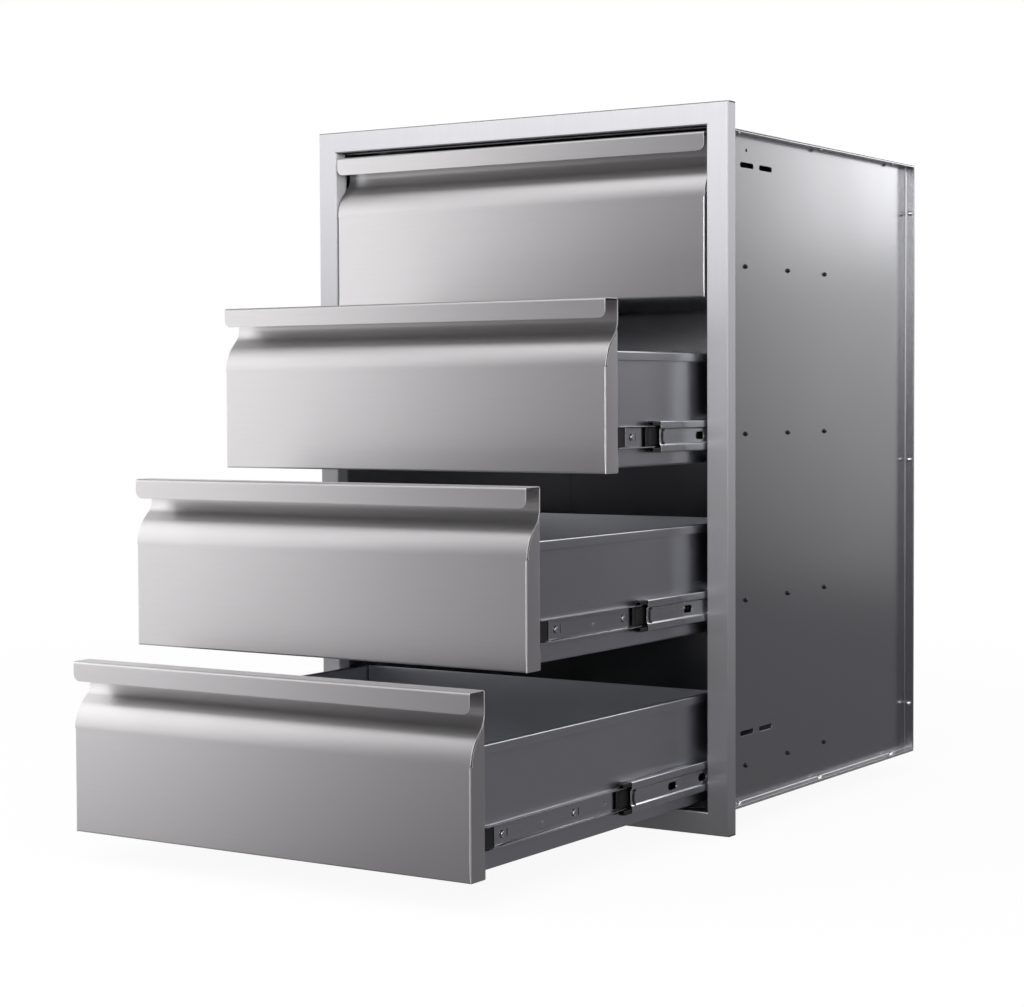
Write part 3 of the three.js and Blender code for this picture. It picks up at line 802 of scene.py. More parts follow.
class DRAWERUNIT_OT_face_frame(bpy.types.Operator):
    """Folds the four mitred rails of the face frame"""

    bl_idname = "drawerunit.face_frame"
    bl_label = "Face Frame"

    def rail(self, border, length, start_border, end_border, inward, corner):
        """One rail, drawn upright and mitred at both ends, then turned and set at its corner."""
        bm = bmesh.new()
        path = [
            (LANDING_LIP, FRAME_DEPTH), (0, FRAME_DEPTH), (0, 0),
            (border, 0), (border, FRAME_DEPTH), (LANDING_LIP + LIP_SLOT, FRAME_DEPTH),
        ]
        sheet_run(bm, path, "z", (0, length))
        for a, b in path[1:-1]:
            round_fold(bm, FOLD, 5, lambda co: near(co.x, a) and near(co.y, b))
        for level, slope, out in ((0, start_border / border, -1), (length, -end_border / border, 1)):
            sheet = bm.verts[:] + bm.edges[:] + bm.faces[:]
            cut_plane(bm, sheet, (0, 0, level), Vector((-slope, 0, 1)) * out, clear=True)
        face_towards(bm, (border / 2, 0, length / 2), (0, -1, 0))
        inward, depth = Vector(inward), Vector((0, 1, 0))
        turn = Matrix((inward, depth, inward.cross(depth))).transposed().to_4x4()
        bmesh.ops.transform(bm, matrix=Matrix.Translation(corner) @ turn, verts=bm.verts[:])
        return make_mesh(bm, (0, 0, 1), thickness=FRAME_SHEET)

    def execute(self, context):
        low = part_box("face_frame_bottom")[0]
        half = FRAME_WIDTH / 2
        across = (FRAME_WIDTH, SIDE_BORDER, SIDE_BORDER)
        up = (SIDE_BORDER, FRAME_HEIGHT)
        rails = (
            ("bottom", BOTTOM_BORDER, *across, (0, 0, 1), (half, 0, 0)),
            ("top", TOP_BORDER, *across, (0, 0, -1), (-half, 0, FRAME_HEIGHT)),
            ("left", *up, BOTTOM_BORDER, TOP_BORDER, (1, 0, 0), (-half, 0, 0)),
            ("right", *up, TOP_BORDER, BOTTOM_BORDER, (-1, 0, 0), (half, 0, FRAME_HEIGHT)),
        )
        for name, *sizes in rails:
            node = f"face_frame_{name}"
            set_piece(
                f"frame_rail_{name}", self.rail(*sizes), finish_named("frame_stainless"), "cabinet",
                [node], (0, low.y, low.z),
            )
        return {"FINISHED"}


class DRAWERUNIT_OT_cabinet_panels(bpy.types.Operator):
    """Dresses the cabinet's panels and the slides' cabinet members"""

    bl_idname = "drawerunit.cabinet_panels"
    bl_label = "Cabinet Panels"

    def execute(self, context):
        style = context.scene.drawer_unit_shape
        finish = finish_named("mill_stainless")
        panels = {
            "side_panel_left": (0, 1, 0), "side_panel_right": (0, 1, 0), "top_panel": (0, 1, 0),
            "bottom_panel": (0, 1, 0), "back_panel": (1, 0, 0),
        }
        for node, grain in panels.items():
            mesh = dressed_copy(node, grain, style.cut_edge)
            set_piece(f"{node}_sheet", mesh, finish, "cabinet", [node])
        for number in DRAWERS:
            for word, _ in SIDES:
                node = f"slide_{number}_{word}_cabinet_member"
                mesh = dressed_copy(node, (0, 1, 0), 0)
                set_piece(
                    f"slide_{number}_{word}_cabinet_rail", mesh, finish_named("zinc_plated_steel"), "cabinet",
                    [node],
                )
        for word, side in SIDES:
            mesh = self.bend(side, style.panel_bend)
            set_piece(f"side_panel_{word}_rear_bend", mesh, finish, "cabinet")
        return {"FINISHED"}

    def bend(self, side, radius):
        """The rounded inside of the fold between a side panel and its rear flange."""
        bm = bmesh.new()
        arc = [
            (PANEL_SIDE + radius * (1 - math.cos(a)), FLANGE_REAR - radius * (1 - math.sin(a)))
            for a in (math.pi / 2 * i / BEND_STEPS for i in range(BEND_STEPS + 1))
        ]
        corner = (PANEL_SIDE - BEND_EMBED, FLANGE_REAR + BEND_EMBED)
        foot = [bm.verts.new((side * x, y, FLANGE_LOW)) for x, y in (*arc, corner)]
        grown = bmesh.ops.extrude_face_region(bm, geom=[bm.faces.new(foot)])["geom"]
        top = [g for g in grown if isinstance(g, bmesh.types.BMVert)]
        bmesh.ops.translate(bm, verts=top, vec=(0, 0, FLANGE_HIGH - FLANGE_LOW))
        agree(bm)
        return make_mesh(bm, (0, 0, 1), sharp=60)


class DRAWERUNIT_OT_rivets(bpy.types.Operator):
    """Sets the domed rivet heads over the cabinet's flanges"""

    bl_idname = "drawerunit.rivets"
    bl_label = "Rivets"

    def execute(self, context):
        finish = finish_named("bright_rivet_steel")
        down, forwards = Matrix.Rotation(math.pi, 4, "X"), Matrix.Rotation(math.pi / 2, 4, "X")
        rows = {
            "top_panel": (down, [(y, FLANGE_HIGH) for y in LEVEL_RIVETS]),
            "bottom_panel": (Matrix.Identity(4), [(y, FLANGE_LOW) for y in LEVEL_RIVETS]),
            "back_panel": (forwards, [(FLANGE_REAR, z) for z in UPRIGHT_RIVETS]),
        }
        for name, (turn, places) in rows.items():
            bm = bmesh.new()
            for _, side in SIDES:
                for y, z in places:
                    place = Matrix.Translation((side * FLANGE_MIDDLE, y, z))
                    turned(bm, dome(RIVET_RADIUS, RIVET_HEIGHT), place @ turn)
            agree(bm)
            mesh = make_mesh(bm, (0, 1, 0), sharp=50)
            set_piece(f"{name}_rivet_heads", mesh, finish, "cabinet")
        return {"FINISHED"}


class DRAWERUNIT_OT_drawer_fronts(bpy.types.Operator):
    """Folds the drawer fronts with their grips, slopes, side wings and rear lips"""

    bl_idname = "drawerunit.drawer_fronts"
    bl_label = "Drawer Fronts"

    def shape(self, style):
        """One folded sheet, seen from the side as a path from the grip's lip down to the underside."""
        bm = bmesh.new()
        path = [
            (0, LIP_END), (0, FRONT_TOP), (RECESS, FRONT_TOP), (RECESS, SLOPE_TOP), (0, SLOPE_FOOT),
            (0, SIDE_FOLD_TOP), (0, REAR_LIP_FOOT), (0, 0),
        ]
        sheet_run(bm, path, "x", (-FRONT_HALF, FRONT_HALF))
        lip = [v for v in bm.verts if near(v.co.z, LIP_END)]
        bevel(bm, lip, style.lip_corner, 10, "VERTICES")
        for (y, z), radius, steps in (
            (path[1], FOLD, 4), (path[2], FOLD, 4), (path[3], style.curve_radius / 2, 8),
            (path[4], style.curve_radius, style.curve_steps),
        ):
            round_fold(bm, radius, steps, lambda co: near(co.y, y) and near(co.z, z))
        cut_plane(bm, bm.verts[:] + bm.edges[:] + bm.faces[:], (0, 0, WING_TOP), (0, 0, 1))
        self.fold_bottom(bm)
        self.fold_sides(bm)
        face_towards(bm, (0, 0, 70), (0, -1, 0))
        mesh = make_mesh(bm, (1, 0, 0), thickness=FRAME_SHEET, cut_edge=style.cut_edge)
        # the faces inside the grip are marked for painted shade, a dark colour that stands for the shade
        # under the lip
        painted_grip_shade = mesh.attributes.new("painted_grip_shade", "FLOAT", "FACE")
        painted_grip_shade.data.foreach_set("value", [float(self.in_grip(polygon)) for polygon in mesh.polygons])
        return mesh

    def in_grip(self, polygon):
        """Whether a face is inside the grip, where the steel's colour is darkened as painted shade."""
        y, z = polygon.center.y / MM, polygon.center.z / MM
        inwards = polygon.normal.y > 0.3 or polygon.normal.z < -0.3
        return inwards and GRIP_FACE < y < RECESS and z > LIP_END - GRIP_LOW

    def fold_bottom(self, bm):
        """The return under the drawer front and its rear lip, between the side wings."""
        for side in (-1, 1):
            face = [f for f in bm.faces if all(v.co.z < REAR_LIP_FOOT + NEAR for v in f.verts)]
            geom = list({g for f in face for g in [f, *f.edges, *f.verts]})
            cut_plane(bm, geom, (side * (FRONT_HALF - BOTTOM_INSET), 0, 0), (1, 0, 0))
        inner = FRONT_HALF - BOTTOM_INSET + NEAR
        foot = edges_where(bm, 1, lambda co: near(co.z, 0) and near(co.y, 0) and abs(co.x) < inner)
        rear = set(fold_out(bm, foot, (0, FRONT_DEPTH, 0)))
        back = [e for e in bm.edges if len(e.link_faces) == 1 and set(e.verts) <= rear]
        fold_out(bm, back, (0, 0, BOTTOM_LIP))
        for y in (0, FRONT_DEPTH):
            round_fold(bm, FOLD, 4, lambda co: near(co.y, y) and near(co.z, 0) and abs(co.x) < inner)

    def fold_sides(self, bm):
        """The side wings: folded back from the face, cut to the slope above it, with rear lips."""

        def outside(co):
            return near(abs(co.x), FRONT_HALF)

        def ahead(co):
            return outside(co) and co.y < FRONT_DEPTH - 1

        def across(face):
            return abs(face.normal.x) > 0.9

        ends = edges_where(bm, 1, lambda co: ahead(co) and co.z < WING_TOP + NEAR)
        for vert in fold_out(bm, ends, (0, 0, 0)):
            vert.co.y = FRONT_DEPTH
        above = edges_where(bm, 2, lambda co: ahead(co) and co.z > SIDE_FOLD_TOP - NEAR)
        above = [e for e in above if e.verts[0].co.x * e.verts[1].co.x > 0]
        cut = [e for e in above if not all(across(face) for face in e.link_faces)]
        bmesh.ops.split_edges(bm, edges=cut)
        bm.normal_update()
        for vert in bm.verts:
            on_wing = vert.link_faces and all(across(face) for face in vert.link_faces)
            if on_wing and ahead(vert.co) and vert.co.z > SIDE_FOLD_TOP + NEAR:
                notch = WING_NOTCH if vert.co.z < SIDE_FOLD_TOP + 2 else 0
                vert.co.y = min(vert.co.y + WING_GAP + notch, FRONT_DEPTH - FOLD - WING_REAR)

        def rear(co):
            return outside(co) and near(co.y, FRONT_DEPTH) and co.z > REAR_LIP_FOOT - NEAR

        for side in (-1, 1):
            lip = edges_where(bm, 1, lambda co: rear(co) and co.x * side > 0)
            fold_out(bm, lip, (-side * REAR_LIP, 0, 0))
        round_fold(bm, FOLD, 4, lambda co: outside(co) and near(co.y, 0) and co.z < SIDE_FOLD_TOP + NEAR)
        round_fold(bm, FOLD, 4, rear)
        feet = [v for v in bm.verts if outside(v.co) and near(v.co.y, FRONT_DEPTH) and near(v.co.z, 0)]
        bevel(bm, feet, FOOT_CORNER, 3, "VERTICES")

    def execute(self, context):
        mesh = self.shape(context.scene.drawer_unit_shape)
        for number in DRAWERS:
            set_piece(
                f"folded_front_{number}", mesh, finish_named("brushed_stainless"), f"drawer_{number}",
                [f"drawer_front_{number}"], front_place(number),
            )
        return {"FINISHED"}


class DRAWERUNIT_OT_drawer_boxes(bpy.types.Operator):
    """Folds the drawer boxes with their rolled rims and closed ends"""

    bl_idname = "drawerunit.drawer_boxes"
    bl_label = "Drawer Boxes"

    def shape(self, style):
        """One folded sheet: the floor and both sides with their rims, then the two ends."""
        bm = bmesh.new()
        inside = BOX_HALF - BOX_SHEET
        rim = BOX_HALF + RIM_WIDTH
        half = [(rim, BOX_TOP - RIM_DROP), (rim, BOX_TOP), (inside, BOX_TOP), (inside, BOX_FLOOR)]
        path = half + [(-x, z) for x, z in reversed(half)]
        ends = (BOX_FRONT + BOX_SHEET, BOX_REAR - BOX_SHEET)
        sheet_run(bm, path, "y", ends)
        for (x, z), radius in ((half[1], RIM_BEND), (half[2], RIM_BEND), (half[3], BOX_BEND)):
            round_fold(bm, radius, 5, lambda co: near(abs(co.x), x) and near(co.z, z))
        for end in ends:
            foot = edges_where(bm, 1, lambda co: near(co.y, end) and near(co.z, BOX_FLOOR))
            fold_out(bm, foot, (0, 0, BOX_TOP - BOX_FLOOR - END_DROP))
            round_fold(bm, BOX_BEND, 4, lambda co: near(co.y, end) and near(co.z, BOX_FLOOR))
        face_towards(bm, (0, 280, BOX_FLOOR), (0, 0, 1))
        return make_mesh(bm, (0, 1, 0), thickness=BOX_SHEET, cut_edge=style.cut_edge)

    def execute(self, context):
        mesh = self.shape(context.scene.drawer_unit_shape)
        for number in DRAWERS:
            set_piece(
                f"folded_box_{number}", mesh, finish_named("satin_stainless"), f"drawer_{number}",
                [f"drawer_box_{number}"], front_place(number),
            )
        return {"FINISHED"}


def pan_screw(bm, matrix, radius, height=1.4):
    """A pan head screw with a cross recess, its axis along the matrix's Z. Its forms are shares of its
    radius and height."""
    rim, depth = 0.6 * radius, 0.7 * height
    head = [(radius, 0), (radius, 0.5 * height), (0.9 * radius, 0.82 * height), (0.72 * radius, height)]
    turned(bm, [*head, (rim, height)], matrix, 24)
    arm, half = 0.42 * radius, 0.11 * radius
    cross = [
        (arm, half), (half, half), (half, arm), (-half, arm), (-half, half), (-arm, half),
        (-arm, -half), (-half, -half), (-half, -arm), (half, -arm), (half, -half), (arm, -half),
    ]
    ring = [(rim * math.cos(a), rim * math.sin(a)) for a in (FULL_TURN * i / 24 for i in range(24))]
    top = matrix @ Matrix.Translation((0, 0, height))
    edges = flat_plate(bm, (ring, cross), top)
    foot = fold_out(bm, edges[len(ring):], top.to_3x3() @ Vector((0, 0, -depth)))
    loop = [e for e in bm.edges if e.verts[0] in foot and e.verts[1] in foot]
    bmesh.ops.edgeloop_fill(bm, edges=loop)


class DRAWERUNIT_OT_drawer_members(bpy.types.Operator):
    """Rolls the slides' drawer members, with their slits, holes and screws"""

    bl_idname = "drawerunit.drawer_members"
    bl_label = "Drawer Members"

    def channel(self, side, style):
        """The rolled channel, its flanges turned away from the box."""
        bm = bmesh.new()
        holes = [long_hole((place + SLIT_STEP, 0), SLIT_SIZE, 4) for place in INNER_SCREWS]
        holes += [long_hole((place, 0), HOLE_SIZE) for place in INNER_HOLES]
        out = side * (BOX_HALF + INNER_BACK)
        slide_web(bm, out, SLIDE_LENGTH, INNER_HALF, holes)
        for level in (-INNER_HALF, INNER_HALF):
            fold = edges_where(bm, 1, lambda co: near(co.z, level))
            fold_out(bm, fold, (side * (INNER_EDGE - INNER_BACK), 0, 0))
            round_fold(bm, ROLL_BEND, 4, lambda co: near(co.z, level) and near(co.x, out))
        face_towards(bm, (out, SLIDE_LENGTH / 2, 0), (-side, 0, 0))
        return make_mesh(bm, (0, 1, 0), thickness=SLIDE_SHEET, cut_edge=style.cut_edge)

    def screws(self, side, style):
        """The screws through the web, and the bent tab that stops the end cap."""
        bm = bmesh.new()
        seat = side * (BOX_HALF + INNER_BACK + SLIDE_SHEET)
        for place in INNER_SCREWS:
            pan_screw(bm, towards_x(side, (seat + side * WASHER, place, 0)), style.screw_head)
        tab = sorted((seat - side * 0.2, side * (BOX_HALF + INNER_EDGE - 0.9)))
        half = INNER_HALF - SLIDE_SHEET - 2 * PLAY
        rounded_box(bm, (tab[0], TAB_START, -half), (tab[1], TAB_END, half), 0.35, 2)
        agree(bm)
        return make_mesh(bm, (0, 1, 0), sharp=40)

    def inserts(self, side, style):
        """The washers under the screws and the plugs in the slits beside them."""
        bm = bmesh.new()
        web = side * (BOX_HALF + INNER_BACK)
        face = web + side * SLIDE_SHEET
        wide, high = (size / 2 - 0.05 for size in SLIT_SIZE)
        radius = style.screw_head + 1.0
        washer = [(0.5 * radius, WASHER), (radius - 0.15, WASHER), (radius, 0.6 * WASHER), (radius, -0.1)]
        xs = sorted((web + side * 0.1, face - side * 0.15))
        for place in INNER_SCREWS:
            turned(bm, washer, towards_x(side, (face, place, 0)), 24)
            middle = place + SLIT_STEP
            rounded_box(bm, (xs[0], middle - wide, -high), (xs[1], middle + wide, high), 0.2, 1)
        agree(bm)
        return make_mesh(bm, (0, 1, 0), sharp=40)

    def execute(self, context):
        style = context.scene.drawer_unit_shape
        zinc, black = finish_named("zinc_plated_steel"), finish_named("black_acetal")
        for word, side in SIDES:
            makers = (self.channel, self.screws, self.inserts)
            channel, screws, inserts = (make(side, style) for make in makers)
            for number in DRAWERS:
                node = f"slide_{number}_{word}_drawer_member"
                place = member_place(number, word, "drawer_member")
                for what, mesh, finish, slot, nodes in (
                    ("rail", channel, zinc, "slide_steel", [node]),
                    ("screws", screws, zinc, "slide_steel", ()),
                    ("inserts", inserts, black, "black_plastic", ()),
                ):
                    name = f"slide_{number}_{word}_drawer_{what}"
                    set_piece(name, mesh, finish, f"drawer_{number}", nodes, place)
        return {"FINISHED"}


class DRAWERUNIT_OT_middle_members(bpy.types.Operator):
    """Rolls the slides' middle members, with their sunk webs and access slots"""

    bl_idname = "drawerunit.middle_members"
    bl_label = "Middle Members"

    def channel(self, side, style):
        """The rolled channel, folded outwards from its sunk web: slope, web, flange and lip."""
        bm = bmesh.new()
        sunk = side * (BOX_HALF + EMBOSS_WEB)
        slots = [long_hole((place, 0), ACCESS_SLOT_SIZE) for place in ACCESS_SLOTS]
        slide_web(bm, sunk, MIDDLE_LENGTH, EMBOSS_HALF, slots)
        folds = (
            (side * (MIDDLE_WEB - EMBOSS_WEB), EMBOSS_FOOT - EMBOSS_HALF),
            (0, MIDDLE_HALF - EMBOSS_FOOT),
            (-side * (MIDDLE_WEB - MIDDLE_BACK), 0),
            (0, MIDDLE_LIP - MIDDLE_HALF),
        )
        for up in (-1, 1):
            x, z = sunk, up * EMBOSS_HALF
            corners = []
            for run, rise in folds:
                fold = edges_where(bm, 1, lambda co: near(co.z, z) and near(co.x, x))
                fold_out(bm, fold, (run, 0, up * rise))
                corners.append((x, z))
                x, z = x + run, z + up * rise
            for (x, z), radius in zip(corners, MIDDLE_BENDS):
                round_fold(bm, radius, 4, lambda co: near(co.z, z) and near(co.x, x))
        face_towards(bm, (sunk, 50, 0), (side, 0, 0))
        return make_mesh(bm, (0, 1, 0), thickness=SLIDE_SHEET, cut_edge=style.cut_edge)

    def execute(self, context):
        style = context.scene.drawer_unit_shape
        finish = finish_named("zinc_plated_steel")
        for word, side in SIDES:
            channel = self.channel(side, style)
            for number in DRAWERS:
                node = f"slide_{number}_{word}_middle_member"
                set_piece(
                    f"slide_{number}_{word}_middle_rail", channel, finish, f"runners_{number}",
                    [node], member_place(number, word, "middle_member"),
                )
        return {"FINISHED"}


class DRAWERUNIT_OT_slide_plastics(bpy.types.Operator):
    """Moulds the end caps and the ball retainers of the slides"""

    bl_idname = "drawerunit.slide_plastics"
    bl_label = "Slide Plastics"

    def cap(self, side):
        """The end cap, a block between the drawer member's flanges."""
        bm = bmesh.new()
        inner = BOX_HALF + INNER_BACK + SLIDE_SHEET + PLAY
        outer = BOX_HALF + INNER_EDGE - 2.3
        half = INNER_HALF - SLIDE_SHEET - PLAY
        xs = sorted((side * inner, side * outer))
        rounded_box(bm, (xs[0], 0, -half), (xs[1], CAP_LENGTH, half), 0.9, 3)
        return make_mesh(bm, (0, 1, 0))

    def retainer(self, side):
        """The tongue between the rails, the collar and plug above and below it, and the hooked latch."""
        bm = bmesh.new()
        tongue_half = INNER_HALF - SLIDE_SHEET - PLAY
        collar_half = MIDDLE_HALF - PLAY
        plug_half = MIDDLE_HALF - SLIDE_SHEET - PLAY
        ledge = INNER_HALF + PLAY
        foot = EMBOSS_HALF + 0.6

        def block(depths, ys, zs, edge):
            """A moulded block: depths from the box side, along the slide, and up."""
            xs = sorted(side * (BOX_HALF + depth) for depth in depths)
            rounded_box(bm, (xs[0], ys[0], zs[0]), (xs[1], ys[1], zs[1]), edge, 3)

        nose = TONGUE - COLLAR
        # The tongue and its rib, the collars and plugs with the latch's hooks, and the latch between them
        block((3.5, 4.3), (0.5, TONGUE + PLUG), (-tongue_half, tongue_half), 0.35)
        block((3.6, 5.2), (nose - 2, TONGUE + PLUG), (-tongue_half + 1, tongue_half - 1), 0.7)
        for up in (-1, 1):
            block((2.0, 9.9), (nose, TONGUE - PLAY), sorted((up * ledge, up * collar_half)), 0.6)
            block((3.5, 9.4), (nose, TONGUE + PLUG), sorted((up * ledge, up * plug_half)), 0.4)
            hook = sorted((up * (foot - 2.6), up * (foot + 1.6)))
            block((9.2, 10.7), (TONGUE + 6.2, TONGUE + 8.8), hook, 0.5)
        block((9.0, 10.2), (TONGUE + 4.6, TONGUE + 6.4), (-foot, foot), 0.4)
        block((9.0, 9.9), (TONGUE + 2.2, TONGUE + 5.2), (-0.55 * foot, 0.55 * foot), 0.4)
        return make_mesh(bm, (0, 1, 0))

    def execute(self, context):
        finish = finish_named("black_acetal")
        for word, side in SIDES:
            cap, retainer = self.cap(side), self.retainer(side)
            for number in DRAWERS:
                for what, mesh, body in (
                    ("end_cap", cap, f"drawer_{number}"), ("ball_retainer", retainer, f"runners_{number}"),
                ):
                    set_piece(
                        f"slide_{number}_{word}_{what}_moulded", mesh, finish, body,
                        [f"slide_{number}_{word}_{what}"], member_place(number, word, what),
                    )
        return {"FINISHED"}


class DRAWERUNIT_OT_screw_tips(bpy.types.Operator):
    """Turns the slide screws' rounded tips, which stand out of the side panels"""

    bl_idname = "drawerunit.screw_tips"
    bl_label = "Screw Tips"

    def execute(self, context):
        finish = finish_named("dark_screw_steel")
        for word, side in SIDES:
            bm = bmesh.new()
            face = side * (BOX_HALF + PANEL_FACE)
            for place in OUTER_SCREWS:
                turned(bm, SCREW_TIP, towards_x(side, (face, place, 0)), 16)
            agree(bm)
            mesh = make_mesh(bm, (0, 0, 1), sharp=40)
            for number in DRAWERS:
                set_piece(
                    f"slide_{number}_{word}_screw_tips", mesh, finish, "cabinet", (),
                    member_place(number, word, "cabinet_member"),
                )
        return {"FINISHED"}


class DRAWERUNIT_OT_studio(bpy.types.Operator):
    """Sets up the floor, the lamps, the world and the camera"""

    bl_idname = "drawerunit.studio"
    bl_label = "Studio"

    def screen(self, name, bm, axis, ends, cover):
        """A large dark screen for the steel to reflect, which clears along an axis from end to end. It
        stands where the camera doesn't show it."""
        mesh = mesh_from(bm, name)
        finish, tree, output = new_finish(name)
        spot = add_node(tree, "ShaderNodeTexCoord")
        axes = add_node(tree, "ShaderNodeSeparateXYZ", {"Vector": spot.outputs["Object"]})
        fade = add_node(
            tree, "ShaderNodeMapRange", {"Value": axes.outputs[axis]},
            {"From Min": ends[0], "From Max": ends[1], "To Min": cover[0], "To Max": cover[1]},
        )
        paper = add_node(tree, "ShaderNodeBsdfDiffuse", None, {"Color": (*linear(SCREEN_COLOUR), 1)})
        clear = add_node(tree, "ShaderNodeBsdfTransparent")
        mixed = add_node(
            tree, "ShaderNodeMixShader",
            {0: fade.outputs["Result"], 1: clear.outputs["BSDF"], 2: paper.outputs["BSDF"]},
        )
        tree.links.new(mixed.outputs["Shader"], output.inputs["Surface"])
        mesh.materials.append(finish)
        card = add_object(name, mesh)
        card.visible_camera = False
        card.visible_diffuse = False
        card.visible_shadow = False
        card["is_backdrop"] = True

    def card(self, corners):
        """A flat screen's shape."""
        bm = bmesh.new()
        bm.faces.new([bm.verts.new(corner) for corner in corners])
        return bm

    def level_card(self, height):
        """A square screen's shape, over or under the whole room."""
        square = ((-1, -1), (1, -1), (1, 1), (-1, 1))
        return self.card([(x * ROOM_REACH, y * ROOM_REACH, height) for x, y in square])

    def skirt(self, radius, low, high):
        """A round screen's wall, open at its top."""
        bm = bmesh.new()
        bmesh.ops.create_circle(bm, segments=96, radius=radius, matrix=Matrix.Translation((0, 0, low)))
        fold_out(bm, bm.edges[:], (0, 0, high - low))
        return bm

    def softbox(self, name, place, aim, size, level):
        """A square area lamp whose face shines at a level, where 1 is white."""
        lamp = bpy.data.lights.new(name, "AREA")
        lamp.shape = "RECTANGLE"
        lamp.size, lamp.size_y = size
        lamp.energy = level * math.pi * size[0] * size[1]
        holder = add_object(name, lamp)
        holder.location = place
        holder.rotation_euler = (Vector(aim) - Vector(place)).to_track_quat("-Z", "Y").to_euler()
        holder.visible_camera = False

    def white_seen(self, tree):
        """One where a ray comes from the camera or off metal or glass, else nought."""
        path = add_node(tree, "ShaderNodeLightPath")
        either = add_node(
            tree, "ShaderNodeMath",
            {0: path.outputs["Is Camera Ray"], 1: path.outputs["Is Glossy Ray"]}, operation="MAXIMUM",
        )
        return add_node(
            tree, "ShaderNodeMath",
            {0: either.outputs["Value"], 1: path.outputs["Is Transmission Ray"]}, operation="MAXIMUM",
        ).outputs["Value"]

    def floor(self, colour, level):
        """A wide floor that is white to the eye and painted for the light it throws back."""
        bm = bmesh.new()
        place = Matrix.Translation((0, 0, level))
        bmesh.ops.create_circle(bm, cap_ends=True, segments=64, radius=FLOOR_RADIUS, matrix=place)
        floor = add_object("studio_floor", mesh_from(bm, "studio_floor"))
        finish, tree, output = new_finish("studio_floor")
        paint = add_node(tree, "ShaderNodeBsdfDiffuse", None, {"Color": (*colour, 1)})
        white = add_node(tree, "ShaderNodeEmission", None, {"Color": (1, 1, 1, 1), "Strength": 1.0})
        spot = add_node(tree, "ShaderNodeTexCoord")
        reach = add_node(tree, "ShaderNodeVectorMath", {0: spot.outputs["Object"]}, operation="LENGTH")
        fade = add_node(
            tree, "ShaderNodeMapRange", {"Value": reach.outputs["Value"]},
            {"From Min": 1.0, "From Max": 3.0, "To Min": 0.93, "To Max": 1.0},
            interpolation_type="SMOOTHSTEP",
        )
        share = add_node(
            tree, "ShaderNodeMath", {0: self.white_seen(tree), 1: fade.outputs["Result"]},
            operation="MULTIPLY",
        )
        mixed = add_node(
            tree, "ShaderNodeMixShader",
            {0: share.outputs["Value"], 1: paint.outputs["BSDF"], 2: white.outputs["Emission"]},
        )
        tree.links.new(mixed.outputs["Shader"], output.inputs["Surface"])
        floor.data.materials.append(finish)
        floor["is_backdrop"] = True

    def world(self, scene):
        """A room that is white to the eye and gives the pieces a dimmer even light."""
        world = bpy.data.worlds.new("studio")
        scene.world = world
        world.use_nodes = True
        tree = world.node_tree
        tree.nodes.clear()
        room = add_node(tree, "ShaderNodeBackground", None, {"Color": (1, 1, 1, 1), "Strength": 0.6})
        white = add_node(tree, "ShaderNodeBackground", None, {"Color": (1, 1, 1, 1), "Strength": 1.0})
        mixed = add_node(
            tree, "ShaderNodeMixShader",
            {0: self.white_seen(tree), 1: room.outputs["Background"], 2: white.outputs["Background"]},
        )
        ends = add_node(tree, "ShaderNodeOutputWorld")
        tree.links.new(mixed.outputs["Shader"], ends.inputs["Surface"])

    def camera(self, scene, lens):
        """The camera that took the photo, turned by its yaw, pitch and roll."""
        camera = add_object("photo_camera", bpy.data.cameras.new("photo_camera"))
        yaw, pitch, roll = (math.radians(angle) for angle in CAMERA_TURN)
        ahead = Vector((-math.sin(yaw) * math.cos(pitch), math.cos(yaw) * math.cos(pitch), -math.sin(pitch)))
        right = Vector((math.cos(yaw), math.sin(yaw), 0))
        up = right.cross(ahead)
        across = right * math.cos(roll) + up * math.sin(roll)
        rise = -right * math.sin(roll) + up * math.cos(roll)
        turn = Matrix((across, rise, -ahead)).transposed().to_4x4()
        camera.matrix_world = Matrix.Translation(CAMERA_PLACE) @ turn
        camera.data.sensor_width = SENSOR_WIDTH
        camera.data.lens = lens
        camera.data.shift_y = CAMERA_SHIFT
        camera.data.clip_end = 100
        scene.camera = camera

    def execute(self, context):
        scene = context.scene
        style = scene.drawer_unit_studio
        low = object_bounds()[0].z
        self.floor(style.floor_colour, low - FLOOR_DROP)
        self.world(scene)
        self.screen("floor_screen", self.level_card(low - SCREEN_DROP), "X", (-1.3, 0.1), (0.05, 0.86))
        skirt = self.skirt(ROOM_REACH, SCREEN_FOOT, SKIRT_TOP)
        self.screen("round_screen", skirt, "Z", (0.0, 1.2), (0.72, 0.0))
        for name, (start, end, top, *fade) in UPRIGHT_SCREENS.items():
            corners = [(*start, SCREEN_FOOT), (*end, SCREEN_FOOT), (*end, top), (*start, top)]
            self.screen(name, self.card(corners), *fade)
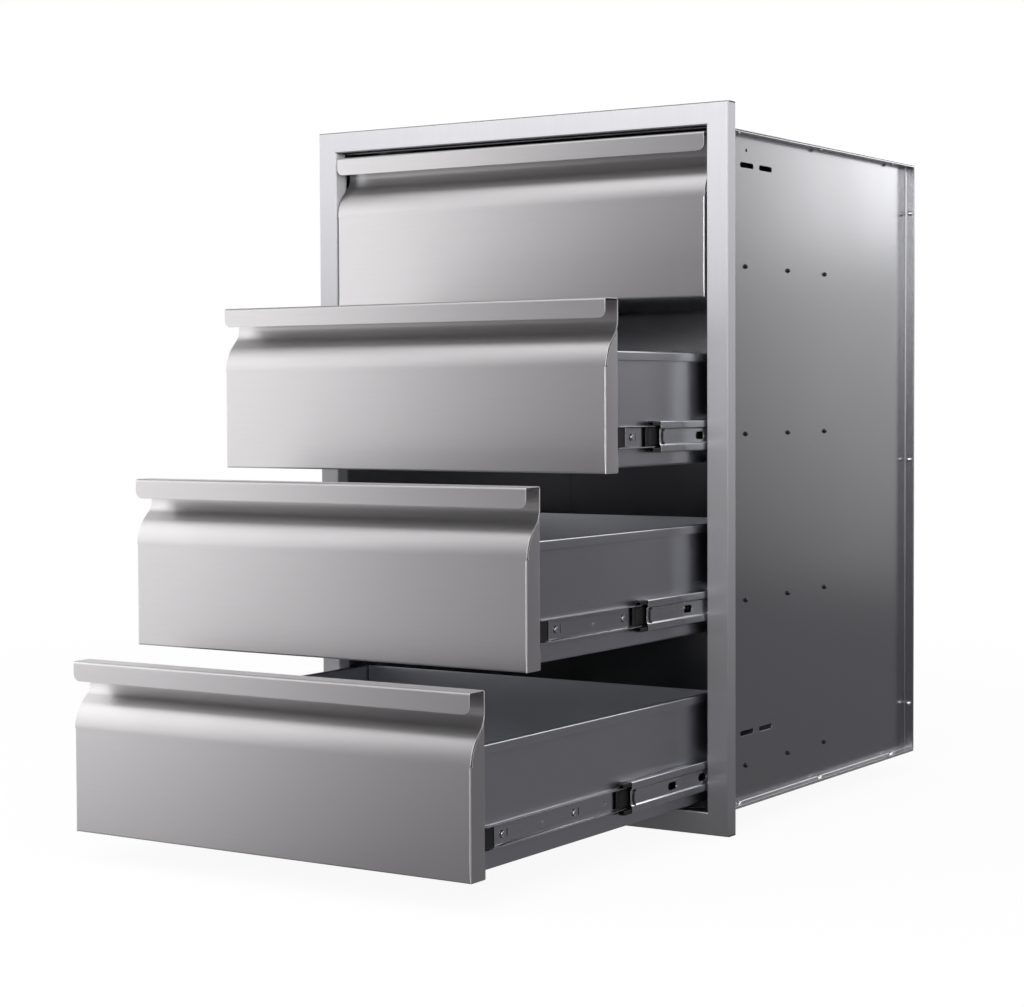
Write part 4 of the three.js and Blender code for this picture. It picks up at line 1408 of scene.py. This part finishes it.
        # The ceiling's screen covers the same from end to end
        self.screen("ceiling_screen", self.level_card(ROOM_HEIGHT), "X", (-6, 6), (0.9, 0.9))
        self.softbox("left_softbox", (-2.15, -1.46, 1.1), (-0.2, 0, 0.7), (2.2, 2.3), style.softbox_level)
        for name, settings in SOFTBOXES.items():
            self.softbox(name, *settings)
        self.camera(scene, style.lens)
        scene.view_settings.view_transform = "Standard"
        return {"FINISHED"}


class DRAWERUNIT_PT_sidebar(bpy.types.Panel):
    """Lists the unit's pieces and their sizes"""

    bl_idname = "DRAWERUNIT_PT_sidebar"
    bl_label = "Drawer Unit"
    bl_space_type = "VIEW_3D"
    bl_region_type = "UI"
    bl_category = "Drawer Unit"

    def draw(self, context):
        scene = context.scene
        for group in (scene.drawer_unit_shape, scene.drawer_unit_finish, scene.drawer_unit_studio):
            box = self.layout.box()
            for name in group.__annotations__:
                box.prop(group, name)
        for operator in OPERATORS:
            self.layout.operator(operator.bl_idname)


OPERATORS = (
    DRAWERUNIT_OT_studio,
    DRAWERUNIT_OT_face_frame,
    DRAWERUNIT_OT_cabinet_panels,
    DRAWERUNIT_OT_rivets,
    DRAWERUNIT_OT_drawer_fronts,
    DRAWERUNIT_OT_drawer_boxes,
    DRAWERUNIT_OT_drawer_members,
    DRAWERUNIT_OT_middle_members,
    DRAWERUNIT_OT_slide_plastics,
    DRAWERUNIT_OT_screw_tips,
)
SETTINGS = (
    ("drawer_unit_shape", DrawerUnitShape),
    ("drawer_unit_finish", DrawerUnitFinish),
    ("drawer_unit_studio", DrawerUnitStudio),
)


def register():
    for name, group in SETTINGS:
        bpy.utils.register_class(group)
        setattr(bpy.types.Scene, name, PointerProperty(type=group))
    for entry in (*OPERATORS, DRAWERUNIT_PT_sidebar):
        bpy.utils.register_class(entry)


def unregister():
    for entry in (DRAWERUNIT_PT_sidebar, *reversed(OPERATORS)):
        bpy.utils.unregister_class(entry)
    for name, group in reversed(SETTINGS):
        delattr(bpy.types.Scene, name)
        bpy.utils.unregister_class(group)


def main():
    register()
    for operator in OPERATORS:
        module, name = operator.bl_idname.split(".")
        getattr(getattr(bpy.ops, module), name)()


if __name__ == "__main__":
    main()
